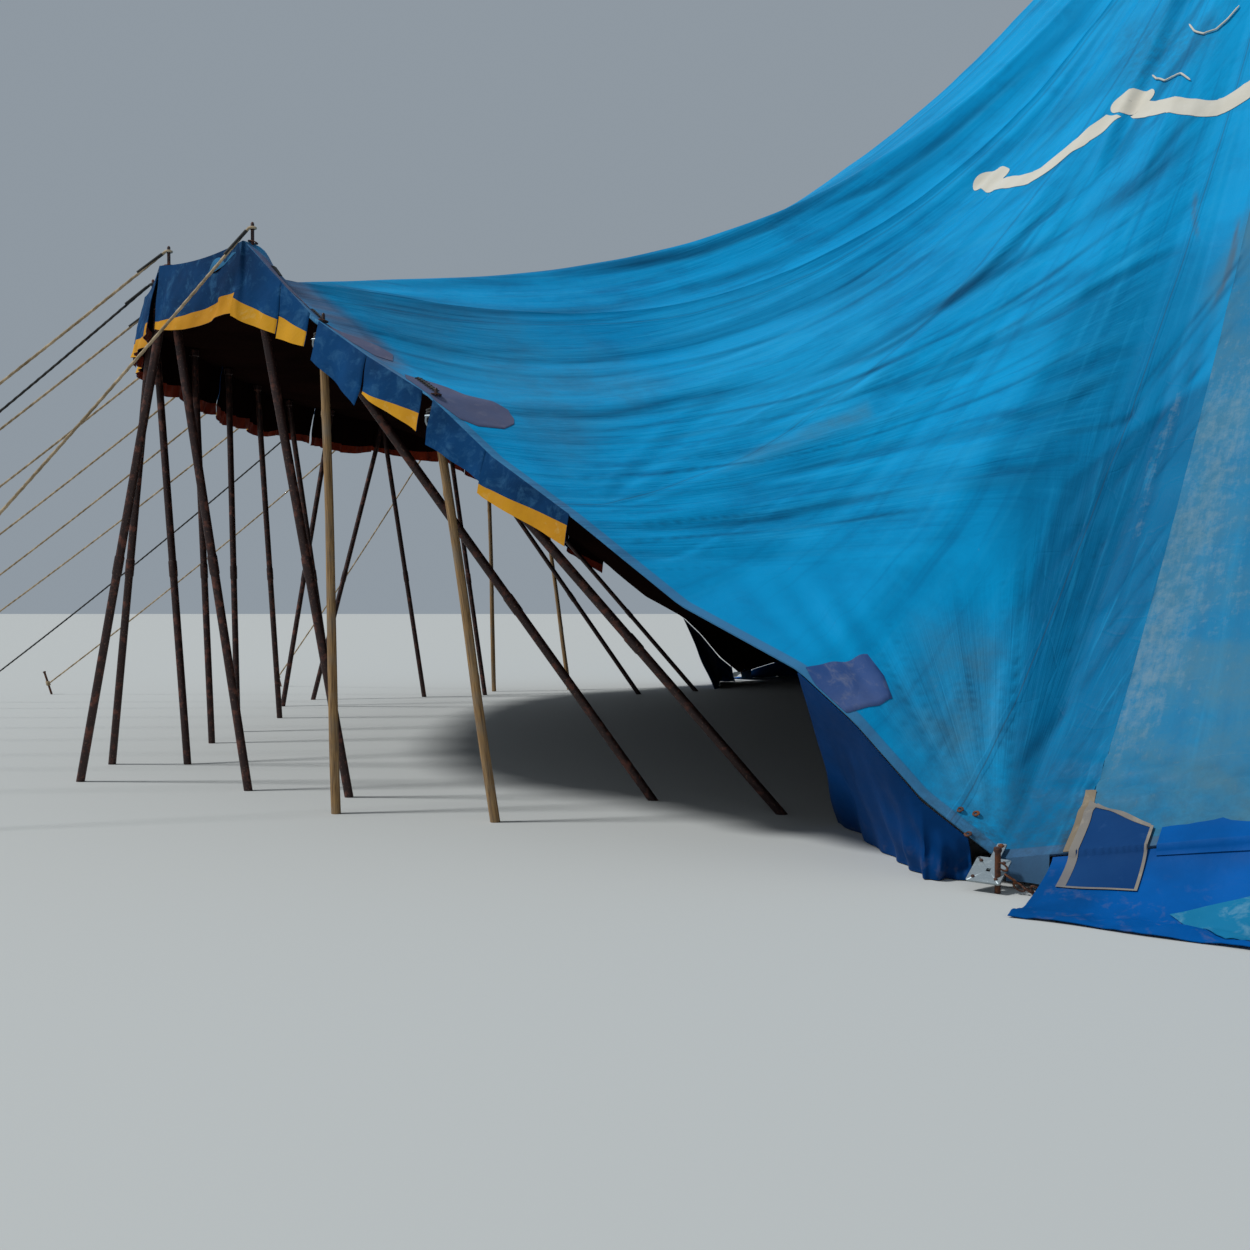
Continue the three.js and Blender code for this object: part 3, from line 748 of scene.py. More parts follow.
    def height(self, g: Any, u: Any, places: Array) -> Array:
        """The whole lift of the cloth: pleats along the meridians, fans from the tie and the
        corners, slack waves between them, and none at the hem and the crown.

        Args:
            g: Distances along the hem.
            u: Shares of the way from the crown.
            places: The smooth membrane's points there.

        Returns:
            Heights along the membrane's own outward direction.
        """
        g, u = np.broadcast_arrays(np.asarray(g, float), np.asarray(u, float))
        radius = np.hypot(places[..., 0], places[..., 1])
        turn = np.degrees(np.arctan2(np.abs(places[..., 1]), -places[..., 0]))
        total = self.seen(places) + self.pulled(g, u, places)
        for angle, depth in self.pleats:
            across = np.radians(turn - angle + 0.5 * np.sin(radius * 0.9 + angle)) * radius
            total += depth * np.exp(-(across / 0.055) ** 2) * soft_step(radius, 1.0, 3.0) \
                * (1 - 0.55 * soft_step(radius, 8.0, 11.0))
        spin = np.stack([np.cos(np.arctan2(places[..., 1], places[..., 0])) * 9.8,
                         np.sin(np.arctan2(places[..., 1], places[..., 0])) * 9.8,
                         radius * 0.08], -1)
        lip = 1 - soft_step(turn, 30, 60)
        total += (0.003 + 0.004 * lip) * ripples(spin, 0.42, 11)
        total += 0.010 * ripples(places, 1.6, 5) + 0.018 * ripples(places, 4.2, 7)
        total += 0.0035 * ripples(places * (1, 1, 1.6), 0.55, 9)
        heads = np.append(FORM.at_head(np.arange(6)), FORM.at_edge(np.array([0.123, 0.304])))
        near = np.abs(np.abs(g)[..., None] - heads).min(-1)
        down = (1 - u) * (BAY_FALL + 0 * g)
        total += 0.035 * np.exp(-(near / (0.10 + 0.12 * down)) ** 2) * np.exp(-down / 0.7)
        total -= 0.03 * soft_step(down, 0.0, 0.5) * np.exp(-down / 1.2) * (turn < 40)
        peak = FORM.hem(FORM.at_head(5))
        off = np.hypot(places[..., 0] - peak[0], np.abs(places[..., 1]) + peak[1])
        hem = soft_step((1 - u) * BAY_FALL, 0.03, 0.32)
        total = total * hem * soft_step(radius, 0.35, 1.2)
        cone = soft_step(off, 0.06, 0.34) * np.exp(-np.clip(off - 0.34, 0, None) / 0.6)
        return total - self.peak_drop * cone * soft_step((1 - u) * BAY_FALL, 0.0, 0.24)


CREASES = Creases()


def skin(g: Any, u: Any, over: float = 0.0) -> Array:
    """The creased membrane, or a layer a little over it.

    Args:
        g: Distances along the hem.
        u: Shares of the way from the crown.
        over: How far off the cloth's own face, in metres.

    Returns:
        Points, in the shape of g and u together.
    """
    base = FORM.point(g, u)
    rise = CREASES.height(g, u, base) + over
    return base + FORM.lift(g, u) * rise[..., None]


def lowest_near(heights: Array) -> Array:
    """The lowest height within two grid steps of each point.

    Args:
        heights: A grid of heights.

    Returns:
        A grid of the same shape.
    """
    wide = np.pad(heights, 2, mode="edge")
    n, m = heights.shape
    return np.min([wide[i:i + n, j:j + m] for i in range(5) for j in range(5)], axis=0)


def along_line(line: Sequence[tuple[float, float]], t: Array) -> Array:
    """Pixels along a broken line, with t counting its stretches."""
    knots = np.arange(len(line))
    return np.stack([np.interp(t, knots, [p[k] for p in line]) for k in (0, 1)], -1)


def place_of(columns: Array, rows: Array, g: float, u: float) -> tuple[Array, Array]:
    """Finds where on the membrane the photograph's pixels lie, by Newton's steps on both
    numbers at once.

    Args:
        columns: Pixel columns.
        rows: Pixel rows, in the same shape.
        g: A first guess at the distance along the hem.
        u: A first guess at the share from the crown.

    Returns:
        The distances g and shares u, in the pixels' shape.
    """
    gs, us = np.full(columns.shape, g), np.full(columns.shape, u)
    small = (0.01, 0.002)
    for _ in range(14):
        c0, r0, _ = PHOTO.pixels(FORM.point(gs, us))
        cg, rg, _ = PHOTO.pixels(FORM.point(gs + small[0], us))
        cu, ru, _ = PHOTO.pixels(FORM.point(gs, us - small[1]))
        a, b = (cg - c0) / small[0], (c0 - cu) / small[1]
        c, d = (rg - r0) / small[0], (r0 - ru) / small[1]
        det = a * d - b * c
        det = np.where(np.abs(det) < 1e-3, 1e-3, det)
        ec, er = columns - c0, rows - r0
        gs = gs + np.clip((d * ec - b * er) / det, -0.8, 0.8)
        us = np.clip(us + np.clip((a * er - c * ec) / det, -0.08, 0.08), 0.02, 1.0)
    return gs, us


# meshes


@dataclass
class Parts:
    """Grids and closed skins that become one mesh, with a UV map in metres."""

    points: list = field(default_factory=list)
    faces: list = field(default_factory=list)
    corners: list = field(default_factory=list)
    finishes: list = field(default_factory=list)
    marks: dict = field(default_factory=dict)
    count: int = 0

    def add(self, points: Array, faces: Sequence[NDArray], corners: Sequence[Array],
            finishes: Sequence[int], marks: dict[str, Array] | None = None) -> None:
        """Adds a closed body, its faces turned outwards.

        Args:
            points: The body's points, one row each.
            faces: Arrays of faces, each array with faces of one size.
            corners: For each array, the UV of every corner.
            finishes: For each array, the index of its material.
            marks: Numbers for each point, by attribute name.
        """
        volume = 0.0
        for ring in faces:
            for k in range(1, ring.shape[1] - 1):
                a, b, c = points[ring[:, 0]], points[ring[:, k]], points[ring[:, k + 1]]
                volume += float(np.einsum("ij,ij->i", a, np.cross(b, c)).sum())
        for ring, uv, finish in zip(faces, corners, finishes):
            turned = slice(None, None, -1) if volume < 0 else slice(None)
            self.faces.append(ring[:, turned] + self.count)
            self.corners.append(uv[:, turned])
            self.finishes.append(np.full(len(ring), finish))
        for name in sorted(set(self.marks) | set(marks or {})):
            held = self.marks.setdefault(name, [np.zeros(self.count)] if self.count else [])
            held.append(np.asarray((marks or {}).get(name, np.zeros(len(points))), float))
        self.points.append(points)
        self.count += len(points)

    def loft(self, rings: Array, finish: int = 0, join: bool = False) -> None:
        """A closed skin over rings of points: quads between neighbours, and either a cap on
        each end or a join from the last ring to the first.

        Args:
            rings: Points of shape (rings, around, 3).
            finish: The index of its material.
            join: Whether the last ring joins the first.
        """
        count, around, _ = rings.shape
        i, j = np.meshgrid(np.arange(count if join else count - 1), np.arange(around),
                           indexing="ij")
        after, beside = (i + 1) % count, (j + 1) % around
        quads = np.stack([i * around + j, i * around + beside, after * around + beside,
                          after * around + j], -1).reshape(-1, 4)
        girth = float(np.linalg.norm(np.roll(rings, -1, 1) - rings, axis=-1).sum(1).max())
        walk = np.linalg.norm(np.diff(rings.mean(1), axis=0), axis=1)
        run = np.concatenate([[0.0], np.cumsum(walk), [walk.sum() + 0.01]])
        uv = np.stack([np.stack([j, j + 1, j + 1, j], -1) * girth / around,
                       run[np.stack([i, i, i + 1, i + 1], -1)]], -1).reshape(-1, 4, 2)
        points, faces, corners = rings.reshape(-1, 3), [quads], [uv]
        if not join:
            middles = np.stack([rings[0].mean(0), rings[-1].mean(0)])
            points = np.vstack([points, middles])
            ids = np.arange(around)
            first = np.stack([ids, np.full(around, count * around), (ids + 1) % around], -1)
            last = (count - 1) * around
            end = np.stack([last + ids, last + (ids + 1) % around,
                            np.full(around, count * around + 1)], -1)
            faces += [first, end]
            corners += [np.zeros((around, 3, 2)), np.zeros((around, 3, 2))]
        self.add(points, faces, corners, [finish] * len(faces))

    def cloth(self, outer: Array, inner: Array, uv: Array | None = None,
              finishes: tuple = (0, 0), coarse: bool = False,
              marks: dict[str, Array] | None = None) -> None:
        """A thin closed sheet between two grids of points.

        Args:
            outer: The face grid, of shape (columns, rows, 3).
            inner: The back grid, of the same shape.
            uv: The face's UV in metres, or None for even steps along its longest runs.
            finishes: Indices of the face's and the back's material, one or for each cell.
            coarse: Whether the back has every second point only; both counts are then odd.
            marks: Numbers for each face point, by attribute name.
        """
        if uv is None:
            uv = np.stack(np.meshgrid(*(np.linspace(0, size, count) for size, count
                                        in zip(lengths(outer), outer.shape)), indexing="ij"), -1)
        step = 2 if coarse else 1
        back = inner[::step, ::step]
        face_ids = np.arange(outer[..., 0].size).reshape(outer.shape[:2])
        back_ids = face_ids.size + np.arange(back[..., 0].size).reshape(back.shape[:2])
        back_uv = uv[::step, ::step]

        def quads(ids: NDArray) -> NDArray:
            """The grid's faces, four corners each."""
            return np.stack([ids[:-1, :-1], ids[1:, :-1], ids[1:, 1:], ids[:-1, 1:]],
                            -1).reshape(-1, 4)

        def border(grid: NDArray) -> NDArray:
            """The grid's outer line, once round."""
            return np.concatenate([grid[:-1, 0], grid[-1, :-1], grid[:0:-1, -1], grid[0, :0:-1]])

        flat_uv = np.vstack([uv.reshape(-1, 2), back_uv.reshape(-1, 2)])
        face, rear = quads(face_ids), quads(back_ids)[:, ::-1]
        o, b = border(face_ids), border(back_ids)
        if coarse:
            o0, o1, o2 = o[::2], o[1::2], np.roll(o, -2)[::2]
            b1 = np.roll(b, -1)
            rims = [np.stack([o0, b, o1], -1), np.stack([o1, b, b1], -1),
                    np.stack([o1, b1, o2], -1)]
        else:
            rims = [np.stack([o, b, np.roll(b, -1), np.roll(o, -1)], -1)]
        faces = [face, rear, *rims]
        points = np.vstack([outer.reshape(-1, 3), back.reshape(-1, 3)])
        held = {name: np.concatenate([value.ravel(), value[::step, ::step].ravel()])
                for name, value in (marks or {}).items()}
        self.add(points, faces, [flat_uv[f] for f in faces],
                 [*finishes, *[0] * len(rims)], held)

    def tube(self, path: Array, radii: Any, sides: int = 16, up: Array = UP,
             finish: int = 0, level_foot: bool = False, lobes: Array | None = None) -> None:
        """A round bar along a path: rings square to the path, which is never parallel to up.

        Args:
            path: The middle line's points.
            radii: One radius, or one for each point.
            sides: Points round the bar.
            up: The direction that the rings' start is turned from.
            finish: The index of its material.
            level_foot: Whether the last ring is cut level on the ground.
            lobes: Factors on the radius, of shape (points, sides).
        """
        ways = np.gradient(path, axis=0)
        ways /= np.linalg.norm(ways, axis=1, keepdims=True)
        side = np.cross(ways, up)
        side /= np.linalg.norm(side, axis=1, keepdims=True)
        other = np.cross(ways, side)
        turn = np.linspace(0, 2 * np.pi, sides, endpoint=False)
        ring = side[:, None] * np.cos(turn)[:, None] + other[:, None] * np.sin(turn)[:, None]
        size = np.broadcast_to(np.asarray(radii, float), (len(path),))[:, None, None]
        if lobes is not None:
            size = size * lobes[..., None]
        rings = path[:, None] + ring * size
        if level_foot:
            drop = rings[-1, :, 2:] / ways[-1, 2]
            rings[-1] -= ways[-1] * drop
        self.loft(rings, finish)

    def turned(self, profile: Sequence[tuple[float, float]], centre: Sequence[float],
               sides: int = 24, axis: Array = UP, finish: int = 0, join: bool = False) -> None:
        """A turned body: a profile of (radius, height along the axis) carried round it.

        Args:
            profile: Radii and heights, in order.
            centre: The point that heights are measured from.
            sides: Steps round the axis.
            axis: The axis' direction.
            finish: The index of its material.
            join: Whether the profile is a closed loop that misses the axis.
        """
        axis = np.asarray(axis, float) / np.linalg.norm(axis)
        other = AHEAD if abs(axis[0]) < 0.8 else UP
        side = np.cross(axis, other)
        side /= np.linalg.norm(side)
        turn = np.linspace(0, 2 * np.pi, sides, endpoint=False)[:, None]
        spoke = side * np.cos(turn) + np.cross(axis, side) * np.sin(turn)
        sizes = np.asarray(profile, float)
        rings = np.asarray(centre) + spoke * sizes[:, :1, None] + axis * sizes[:, 1:, None]
        self.loft(rings, finish, join)

    def slab(self, outline: Array, low: float, high: float, place: Any, bevel: float = 0.002,
             hole: tuple[float, float, float] | None = None) -> None:
        """A plate: an outline carried from low to high, its edges eased by a bevel.

        Args:
            outline: Points (x, y) round the plate.
            low: The plate's under side.
            high: Its upper side.
            place: A function that puts local points in the tent's frame.
            bevel: How far the edges are eased.
            hole: The x, y and radius of a round hole.
        """
        middle = outline.mean(0)
        inset = middle + (outline - middle) * (1 - bevel / np.abs(outline - middle).max())
        rings = [(inset, low), (outline, low + bevel), (outline, high - bevel), (inset, high)]
        if hole is not None:
            spot = np.array(hole[:2])
            ways = outline - spot
            rim = spot + ways / np.linalg.norm(ways, axis=1, keepdims=True) * hole[2]
            rings += [(rim, high), (rim, low)]
        grid = np.stack([np.column_stack([o, np.full(len(o), z)]) for o, z in rings])
        self.loft(place(grid), join=hole is not None)

    def build(self, name: str, materials: Sequence[bpy.types.Material], slot: str,
              nodes: Sequence[str] = (), sharp: float = 40.0) -> bpy.types.Object:
        """Makes the piece, rides it on the tent and takes the CAD nodes' place.

        Args:
            name: The piece's name.
            materials: Its materials, in the order of the finish indices.
            slot: The record's material slot; not used.
            nodes: CAD nodes that it stands for.
            sharp: Edges sharper than this many degrees stay sharp.

        Returns:
            The new object.
        """
        mesh = bpy.data.meshes.new(name)
        points = np.concatenate(self.points)
        loops = np.concatenate([f.ravel() for f in self.faces])
        sizes = np.concatenate([np.full(len(f), f.shape[1]) for f in self.faces])
        mesh.vertices.add(len(points))
        mesh.vertices.foreach_set("co", points.ravel())
        mesh.loops.add(len(loops))
        mesh.loops.foreach_set("vertex_index", loops)
        mesh.polygons.add(len(sizes))
        mesh.polygons.foreach_set("loop_start", np.concatenate([[0], np.cumsum(sizes)[:-1]]))
        mesh.polygons.foreach_set("material_index", np.concatenate(self.finishes))
        mesh.update(calc_edges=True)
        uv = np.concatenate([c.reshape(-1, 2) for c in self.corners])
        mesh.uv_layers.new(name="cut").data.foreach_set("uv", uv.ravel())
        for mark, values in self.marks.items():
            kept = mesh.attributes.new(mark, "FLOAT", "POINT")
            kept.data.foreach_set("value", np.concatenate(values))
        for material in materials:
            mesh.materials.append(material)
        mesh.shade_smooth()
        mesh.set_sharp_from_angle(angle=math.radians(sharp))
        piece = bpy.data.objects.new(name, mesh)
        bpy.context.scene.collection.objects.link(piece)
        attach(piece, "root")
        if nodes:
            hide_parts(*nodes)
        LOG.info("%s: %d faces", name, len(sizes))
        return piece


def area_of(grid: Array) -> float:
    """The area of a grid of points, two triangles to a cell.

    Args:
        grid: Points of shape (columns, rows, 3).

    Returns:
        Square metres.
    """
    a, b, c, d = grid[:-1, :-1], grid[1:, :-1], grid[1:, 1:], grid[:-1, 1:]
    halves = np.cross(b - a, c - a), np.cross(c - a, d - a)
    return float(sum(np.linalg.norm(h, axis=-1).sum() for h in halves) / 2)


def lengths(grid: Array) -> tuple[float, float]:
    """A grid's longest run across its columns and its longest run down its rows.

    Args:
        grid: Points of shape (columns, rows, 3).

    Returns:
        Both lengths in metres.
    """
    across = np.linalg.norm(np.diff(grid, axis=0), axis=-1).sum(0).max()
    down = np.linalg.norm(np.diff(grid, axis=1), axis=-1).sum(1).max()
    return float(across), float(down)


def normals(grid: Array) -> Array:
    """Unit normals of a grid: the cross product of its two directions."""
    way = np.cross(np.gradient(grid, axis=0), np.gradient(grid, axis=1))
    return way / np.maximum(np.linalg.norm(way, axis=-1, keepdims=True), 1e-9)


# finishes


# Node options: a mix of colours with its colour output, and two kinds of product
COLOUR = {"out": 2, "data_type": "RGBA"}
TIMES = {"operation": "MULTIPLY"}
TIMES_ADD = {"operation": "MULTIPLY_ADD"}


class Shader:
    """A material's node tree as it is put together."""

    def __init__(self, name: str) -> None:
        """Makes the material with its surface shader.

        Args:
            name: The material's name.
        """
        self.material = bpy.data.materials.new(name)
        self.material.use_nodes = True
        self.tree = self.material.node_tree
        self.surface = self.tree.nodes["Principled BSDF"]

    def add(self, kind: str, inputs: dict, out: int | str = 0, **settings: Any) -> Any:
        """Adds a node, sets its options and sets or links its inputs.

        Args:
            kind: The node's type, without the prefix ShaderNode.
            inputs: Input sockets by name or number, each a value or a socket to link.
            out: Which output is wanted.
            **settings: The node's own options.

        Returns:
            The output socket.
        """
        node = self.tree.nodes.new("ShaderNode" + kind)
        for option, value in settings.items():
            setattr(node, option, value)
        self.feed(node, inputs)
        return node.outputs[out]

    def feed(self, node: bpy.types.Node, inputs: dict) -> None:
        """Sets a node's inputs, or links them where the value is a socket.

        Args:
            node: The node.
            inputs: Values or sockets, by the input's name or number.
        """
        for key, value in inputs.items():
            if isinstance(value, bpy.types.NodeSocket):
                self.tree.links.new(value, node.inputs[key])
            else:
                node.inputs[key].default_value = value


@dataclass(frozen=True)
class CoatedCanvas:
    """PVC-coated polyester roof cloth, woven, coated and welded in strips: an even, slightly
    glossy skin, bleached in patches and scuffed pale where it is dragged when packed, with
    painted highlights on the ridges of its folds and painted shade in their valleys."""

    name: str = "pvc_coated_roof_cloth"
    colour: str = "#008dc3"
    bright: str = "#009fd6"
    # darker blotches and streaks, weld laps, and painted shade on the low side of creases
    deep: str = "#005c8c"
    teal: str = "#006590"
    pale: str = "#4d7b8e"
    chalk: str = "#8a9ca3"
    stain: str = "#5b5148"
    # the dark of weld lines, of grime, and of painted shade at the laced fold
    soot_and_shade: str = "#33434f"
    band: str = "#5f5f72"
    # painted highlight on the ridges of folds, also the colour of light streaks
    ridge: str = "#22a1d3"
    # painted shade in the valleys of folds
    fold: str = "#003a5c"
    strip: float = 1.48

    def material(self) -> bpy.types.Material:
        """The nodes: blotches a few metres wide, streaks along the fall, chalky scuffs of
        2 to 40 mm, weld lines every strip, a worn hem band 70 mm wide, and painted highlights
        and painted shade along the folds.

        Returns:
            The material.
        """
        s = Shader(self.name)
        place = s.add("TexCoord", {}, "Object")
        cut = s.add("UVMap", {}, uv_map="cut")
        marks = {m: s.add("Attribute", {}, "Fac", attribute_name=m)
                 for m in ("pale", "teal", "grime", "rim", "taper", "shade", "ridge", "band",
                           "rusty", "scuffs", "along", "across", "grained", "turned", "fanned")}
        # streaks are 60 to 150 mm wide and metres long; the weave, 1.2 mm in truth, is drawn
        # at 9 mm to show
        fall = s.add("Mapping", {"Vector": cut, "Scale": (7.5, 0.28, 1.0)})
        drag = s.add("Mapping", {"Vector": cut, "Rotation": (0.0, 0.0, 0.6),
                                 "Scale": (24.0, 4.0, 1.0)})
        blotch, drift, streak, scuff, dragged, grain, crease, pack = (
            s.add("TexNoise", {"Vector": at, "Scale": size, "Detail": detail,
                               "Roughness": rough, "Distortion": bend})
            for at, size, detail, rough, bend in (
                (place, 0.45, 5.0, 0.6, 0.0), (place, 1.9, 6.0, 0.65, 0.0),
                (fall, 1.0, 4.0, 0.55, 0.4), (place, 13.0, 9.0, 0.75, 0.0),
                (drag, 1.0, 6.0, 0.68, 0.0), (place, 110.0, 2.0, 0.5, 0.0),
                (place, 3.6, 7.0, 0.58, 0.8), (place, 2.1, 3.0, 0.45, 0.5)))
        coats = [(s.add("MapRange", {0: drift, 1: 0.5, 2: 0.85, 4: 0.55}), self.deep),
                 (marks["teal"], self.teal),
                 (s.add("MapRange", {0: streak, 1: 0.56, 2: 0.80, 4: 0.5}), self.ridge),
                 (s.add("MapRange", {0: streak, 1: 0.46, 2: 0.30, 4: 0.30}), self.deep)]
        # creases that run with the long folds, 5 to 60 mm apart, and with the corner's fan: a
        # bump, with a painted highlight on their high side and painted shade on their low side
        creased: list = []
        for way, weight, wide, pale, dark in (
                ("across", "grained", 16.0, 0.70, 0.50),
                ("across", "grained", 52.0, 0.55, 0.22),
                ("turned", "fanned", 13.0, 0.42, 0.18)):
            spot = s.add("CombineXYZ", {0: marks[way], 1: marks["along"]})
            spot = s.add("Mapping", {"Vector": spot, "Scale": (wide, 0.75, 1.0)})
            line = s.add("TexNoise", {"Vector": spot, "Scale": 1.0, "Detail": 5.0,
                                      "Roughness": 0.6, "Distortion": 0.25})
            high = s.add("MapRange", {0: line, 1: 0.57, 2: 0.74, 4: pale})
            low = s.add("MapRange", {0: line, 1: 0.45, 2: 0.30, 4: dark})
            coats += [(s.add("Math", {0: high, 1: marks[weight]}, **TIMES), self.ridge),
                      (s.add("Math", {0: low, 1: marks[weight]}, **TIMES), self.deep)]
            creased.append(s.add("Math", {0: line, 1: marks[weight]}, **TIMES))
        # bleached areas, and chalky scuffs where the cloth was dragged
        worn = s.add("Math", {0: marks["pale"], 1: 0.09}, **TIMES)
        worn = s.add("Math", {0: marks["scuffs"], 1: 0.26, 2: worn}, **TIMES_ADD)
        edge = s.add("Math", {0: 0.70, 1: worn}, operation="SUBTRACT")
        thick = s.add("Math", {0: dragged, 1: 0.6, 2: scuff}, **TIMES_ADD)
        thick = s.add("Math", {0: thick, 1: 0.30}, operation="SUBTRACT")
        faded = s.add("MapRange", {0: drift, 1: 0.36, 2: 0.62, 3: 0.30, 4: 1.1})
        faded = s.add("Math", {0: faded, 1: marks["pale"]}, **TIMES)
        full = s.add("Math", {0: edge, 1: 0.30}, operation="ADD")
        coats += [(s.add("Math", {0: faded, 1: 0.85}, **TIMES), self.pale),
                  (s.add("MapRange", {0: thick, 1: edge, 2: full, 4: 0.46}), self.chalk),
                  (s.add("Math", {0: marks["rusty"], 1: 0.8}, **TIMES), self.stain)]
        # weld lines: strips 1.48 m wide at the hem, each lap 25 mm wide
        lane = s.add("Math", {0: s.add("SeparateXYZ", {0: cut}), 1: self.strip},
                     operation="PINGPONG")
        lane = s.add("Math", {0: lane, 1: marks["taper"]}, **TIMES)
        lap = s.add("MapRange", {0: lane, 1: 0.032, 2: 0.024})
        greyed = s.add("Math", {0: marks["band"], 1: streak}, **TIMES)
        # the hem's webbing, 70 mm, rubbed grey, and above it dark patches: grime near the ground,
        # painted shade at the laced fold, and dark marks by the slit and the seam's foot
        hem = s.add("MapRange", {0: marks["rim"], 1: 0.078, 2: 0.066})
        dirt = s.add("MapRange", {0: scuff, 1: 0.34, 2: 0.62})
        coats += [(s.add("Math", {0: lap, 1: 0.16}, **TIMES), self.deep),
                  (s.add("MapRange", {0: lane, 1: 0.006, 2: 0.001, 4: 0.5}), self.soot_and_shade),
                  (s.add("Math", {0: greyed, 1: 1.5}, use_clamp=True, **TIMES), self.band),
                  (s.add("Math", {0: hem, 1: 0.45}, **TIMES), self.band),
                  (s.add("Math", {0: dirt, 1: marks["grime"]}, **TIMES), self.soot_and_shade),
                  # painted highlights on the ridges of folds, and painted shade in their valleys
                  (marks["ridge"], self.ridge), (marks["shade"], self.fold)]
        near = s.add("MapRange", {0: blotch, 1: 0.35, 2: 0.68})
        base = s.add("Mix", {0: near, 6: linear(self.colour), 7: linear(self.bright)}, **COLOUR)
        for share, colour in coats:
            base = s.add("Mix", {0: share, 6: base, 7: linear(colour)}, **COLOUR)
        # crumples from packing: sharp lines where a slow unevenness passes its middle
        pack = s.add("Math", {0: pack, 1: 0.5}, operation="SUBTRACT")
        pack = s.add("Math", {0: pack}, operation="ABSOLUTE")
        sharp = s.add("MapRange", {0: pack, 1: 0.0, 2: 0.03, 3: 1.0, 4: 0.0})
        lined = s.add("Math", {0: sharp, 1: marks["teal"]}, **TIMES)
        bump = crease
        for height, tall in ((grain, 0.04), (lined, -0.25), *((c, 1.1) for c in creased),
                             (lap, 0.25), (hem, 0.35)):
            bump = s.add("Math", {0: height, 1: tall, 2: bump}, **TIMES_ADD)
        facing = s.add("Bump", {"Strength": 0.55, "Distance": 0.012, "Height": bump})
        rough = s.add("MapRange", {0: scuff, 1: 0.3, 2: 0.8, 3: 0.38, 4: 0.66})
        s.feed(s.surface, {"Base Color": base, "Roughness": rough, "Normal": facing,
                           "IOR": 1.5, "Specular IOR Level": 0.08})
        return s.material


class Weave(Enum):
    """How a plain cloth is made, with the thread pitch that shows, in millimetres."""

    CANVAS = 7.0
    COATED = 5.0
    WEBBING = 3.5


@dataclass(frozen=True)
class PlainCloth:
    """Dyed cloth in one colour, with a second shade in blotches, rubbed paler on its folds
    and dirty towards the ground."""

    name: str
    colour: str
    shade: str
    worn: str
    wear: float = 0.3
    dirt: float = 0.0
    weave: Weave = Weave.CANVAS
    rough: float = 0.78
    gloss: float = 0.25
    mud: str = "#8c7a62"

    def material(self) -> bpy.types.Material:
        """The nodes: blotches of about 1 m, rubs of 10 to 100 mm and the threads.

        Returns:
            The material.
        """
        s = Shader(self.name)
        place = s.add("TexCoord", {}, "Object")
        pitch = s.add("Mapping", {"Vector": place, "Scale": (1000 / self.weave.value,) * 3})
        blotch, rub, thread, crumple = (
            s.add("TexNoise", {"Vector": at, "Scale": size, "Detail": detail,
                               "Roughness": rough, "Distortion": bend})
            for at, size, detail, rough, bend in (
                (place, 1.1, 5.0, 0.6, 0.0), (place, 9.0, 8.0, 0.7, 0.5),
                (pitch, 1.0, 2.0, 0.5, 0.0), (place, 5.0, 6.0, 0.5, 1.0)))
        mixed = s.add("MapRange", {0: blotch, 1: 0.36, 2: 0.66})
        base = s.add("Mix", {0: mixed, 6: linear(self.colour), 7: linear(self.shade)}, **COLOUR)
        thin = s.add("MapRange", {0: rub, 1: 0.66 - 0.25 * self.wear, 2: 0.85,
                                  4: 0.4 + 0.5 * self.wear})
        base = s.add("Mix", {0: thin, 6: base, 7: linear(self.worn)}, **COLOUR)
        if self.dirt > 0:
            high = s.add("SeparateXYZ", {0: place}, 2)
            mud = s.add("MapRange", {0: high, 1: 0.20, 2: 0.0, 4: self.dirt})
            spill = s.add("MapRange", {0: rub, 1: 0.54, 2: 0.72})
            mud = s.add("Math", {0: mud, 1: spill}, **TIMES)
            base = s.add("Mix", {0: mud, 6: base, 7: linear(self.mud)}, **COLOUR)
        bump = s.add("Math", {0: thread, 1: 0.07, 2: crumple}, **TIMES_ADD)
        facing = s.add("Bump", {"Strength": 0.6, "Distance": 0.010, "Height": bump})
        rough = s.add("MapRange", {0: rub, 1: 0.3, 2: 0.8, 3: self.rough - 0.1,
                                   4: self.rough + 0.1})
        s.feed(s.surface, {"Base Color": base, "Roughness": rough, "Normal": facing,
                           "Specular IOR Level": self.gloss})
        return s.material


@dataclass(frozen=True)
class WornMetal:
    """Steel or zinc with rust or tarnish in patches: a mottled skin, dull where it rusts."""

    name: str
    colour: str
    patch: str
    spot: str
    metal: float = 0.6
    rough: float = 0.5
    rust: float = 0.5
    scale: float = 14.0

    def material(self) -> bpy.types.Material:
        """The nodes: patches of about 70 mm, spots of 5 to 15 mm and pitting.

        Returns:
            The material.
        """
        s = Shader(self.name)
        place = s.add("TexCoord", {}, "Object")
        patch, spots = (
            s.add("TexNoise", {"Vector": place, "Scale": size, "Detail": detail,
                               "Roughness": rough})
            for size, detail, rough in ((self.scale, 6.0, 0.62), (self.scale * 6, 5.0, 0.6)))
        near = s.add("MapRange", {0: patch, 1: 0.60 - 0.2 * self.rust, 2: 0.70 - 0.1 * self.rust})
        base = s.add("Mix", {0: near, 6: linear(self.colour), 7: linear(self.patch)}, **COLOUR)
        fleck = s.add("MapRange", {0: spots, 1: 0.60, 2: 0.70, 4: 0.8})
        base = s.add("Mix", {0: fleck, 6: base, 7: linear(self.spot)}, **COLOUR)
        rough = s.add("MapRange", {0: near, 3: self.rough, 4: 0.88})
        facing = s.add("Bump", {"Strength": 0.5, "Distance": 0.0015, "Height": spots})
        s.feed(s.surface, {"Base Color": base, "Roughness": rough, "Normal": facing,
                           "Metallic": self.metal})
        return s.material


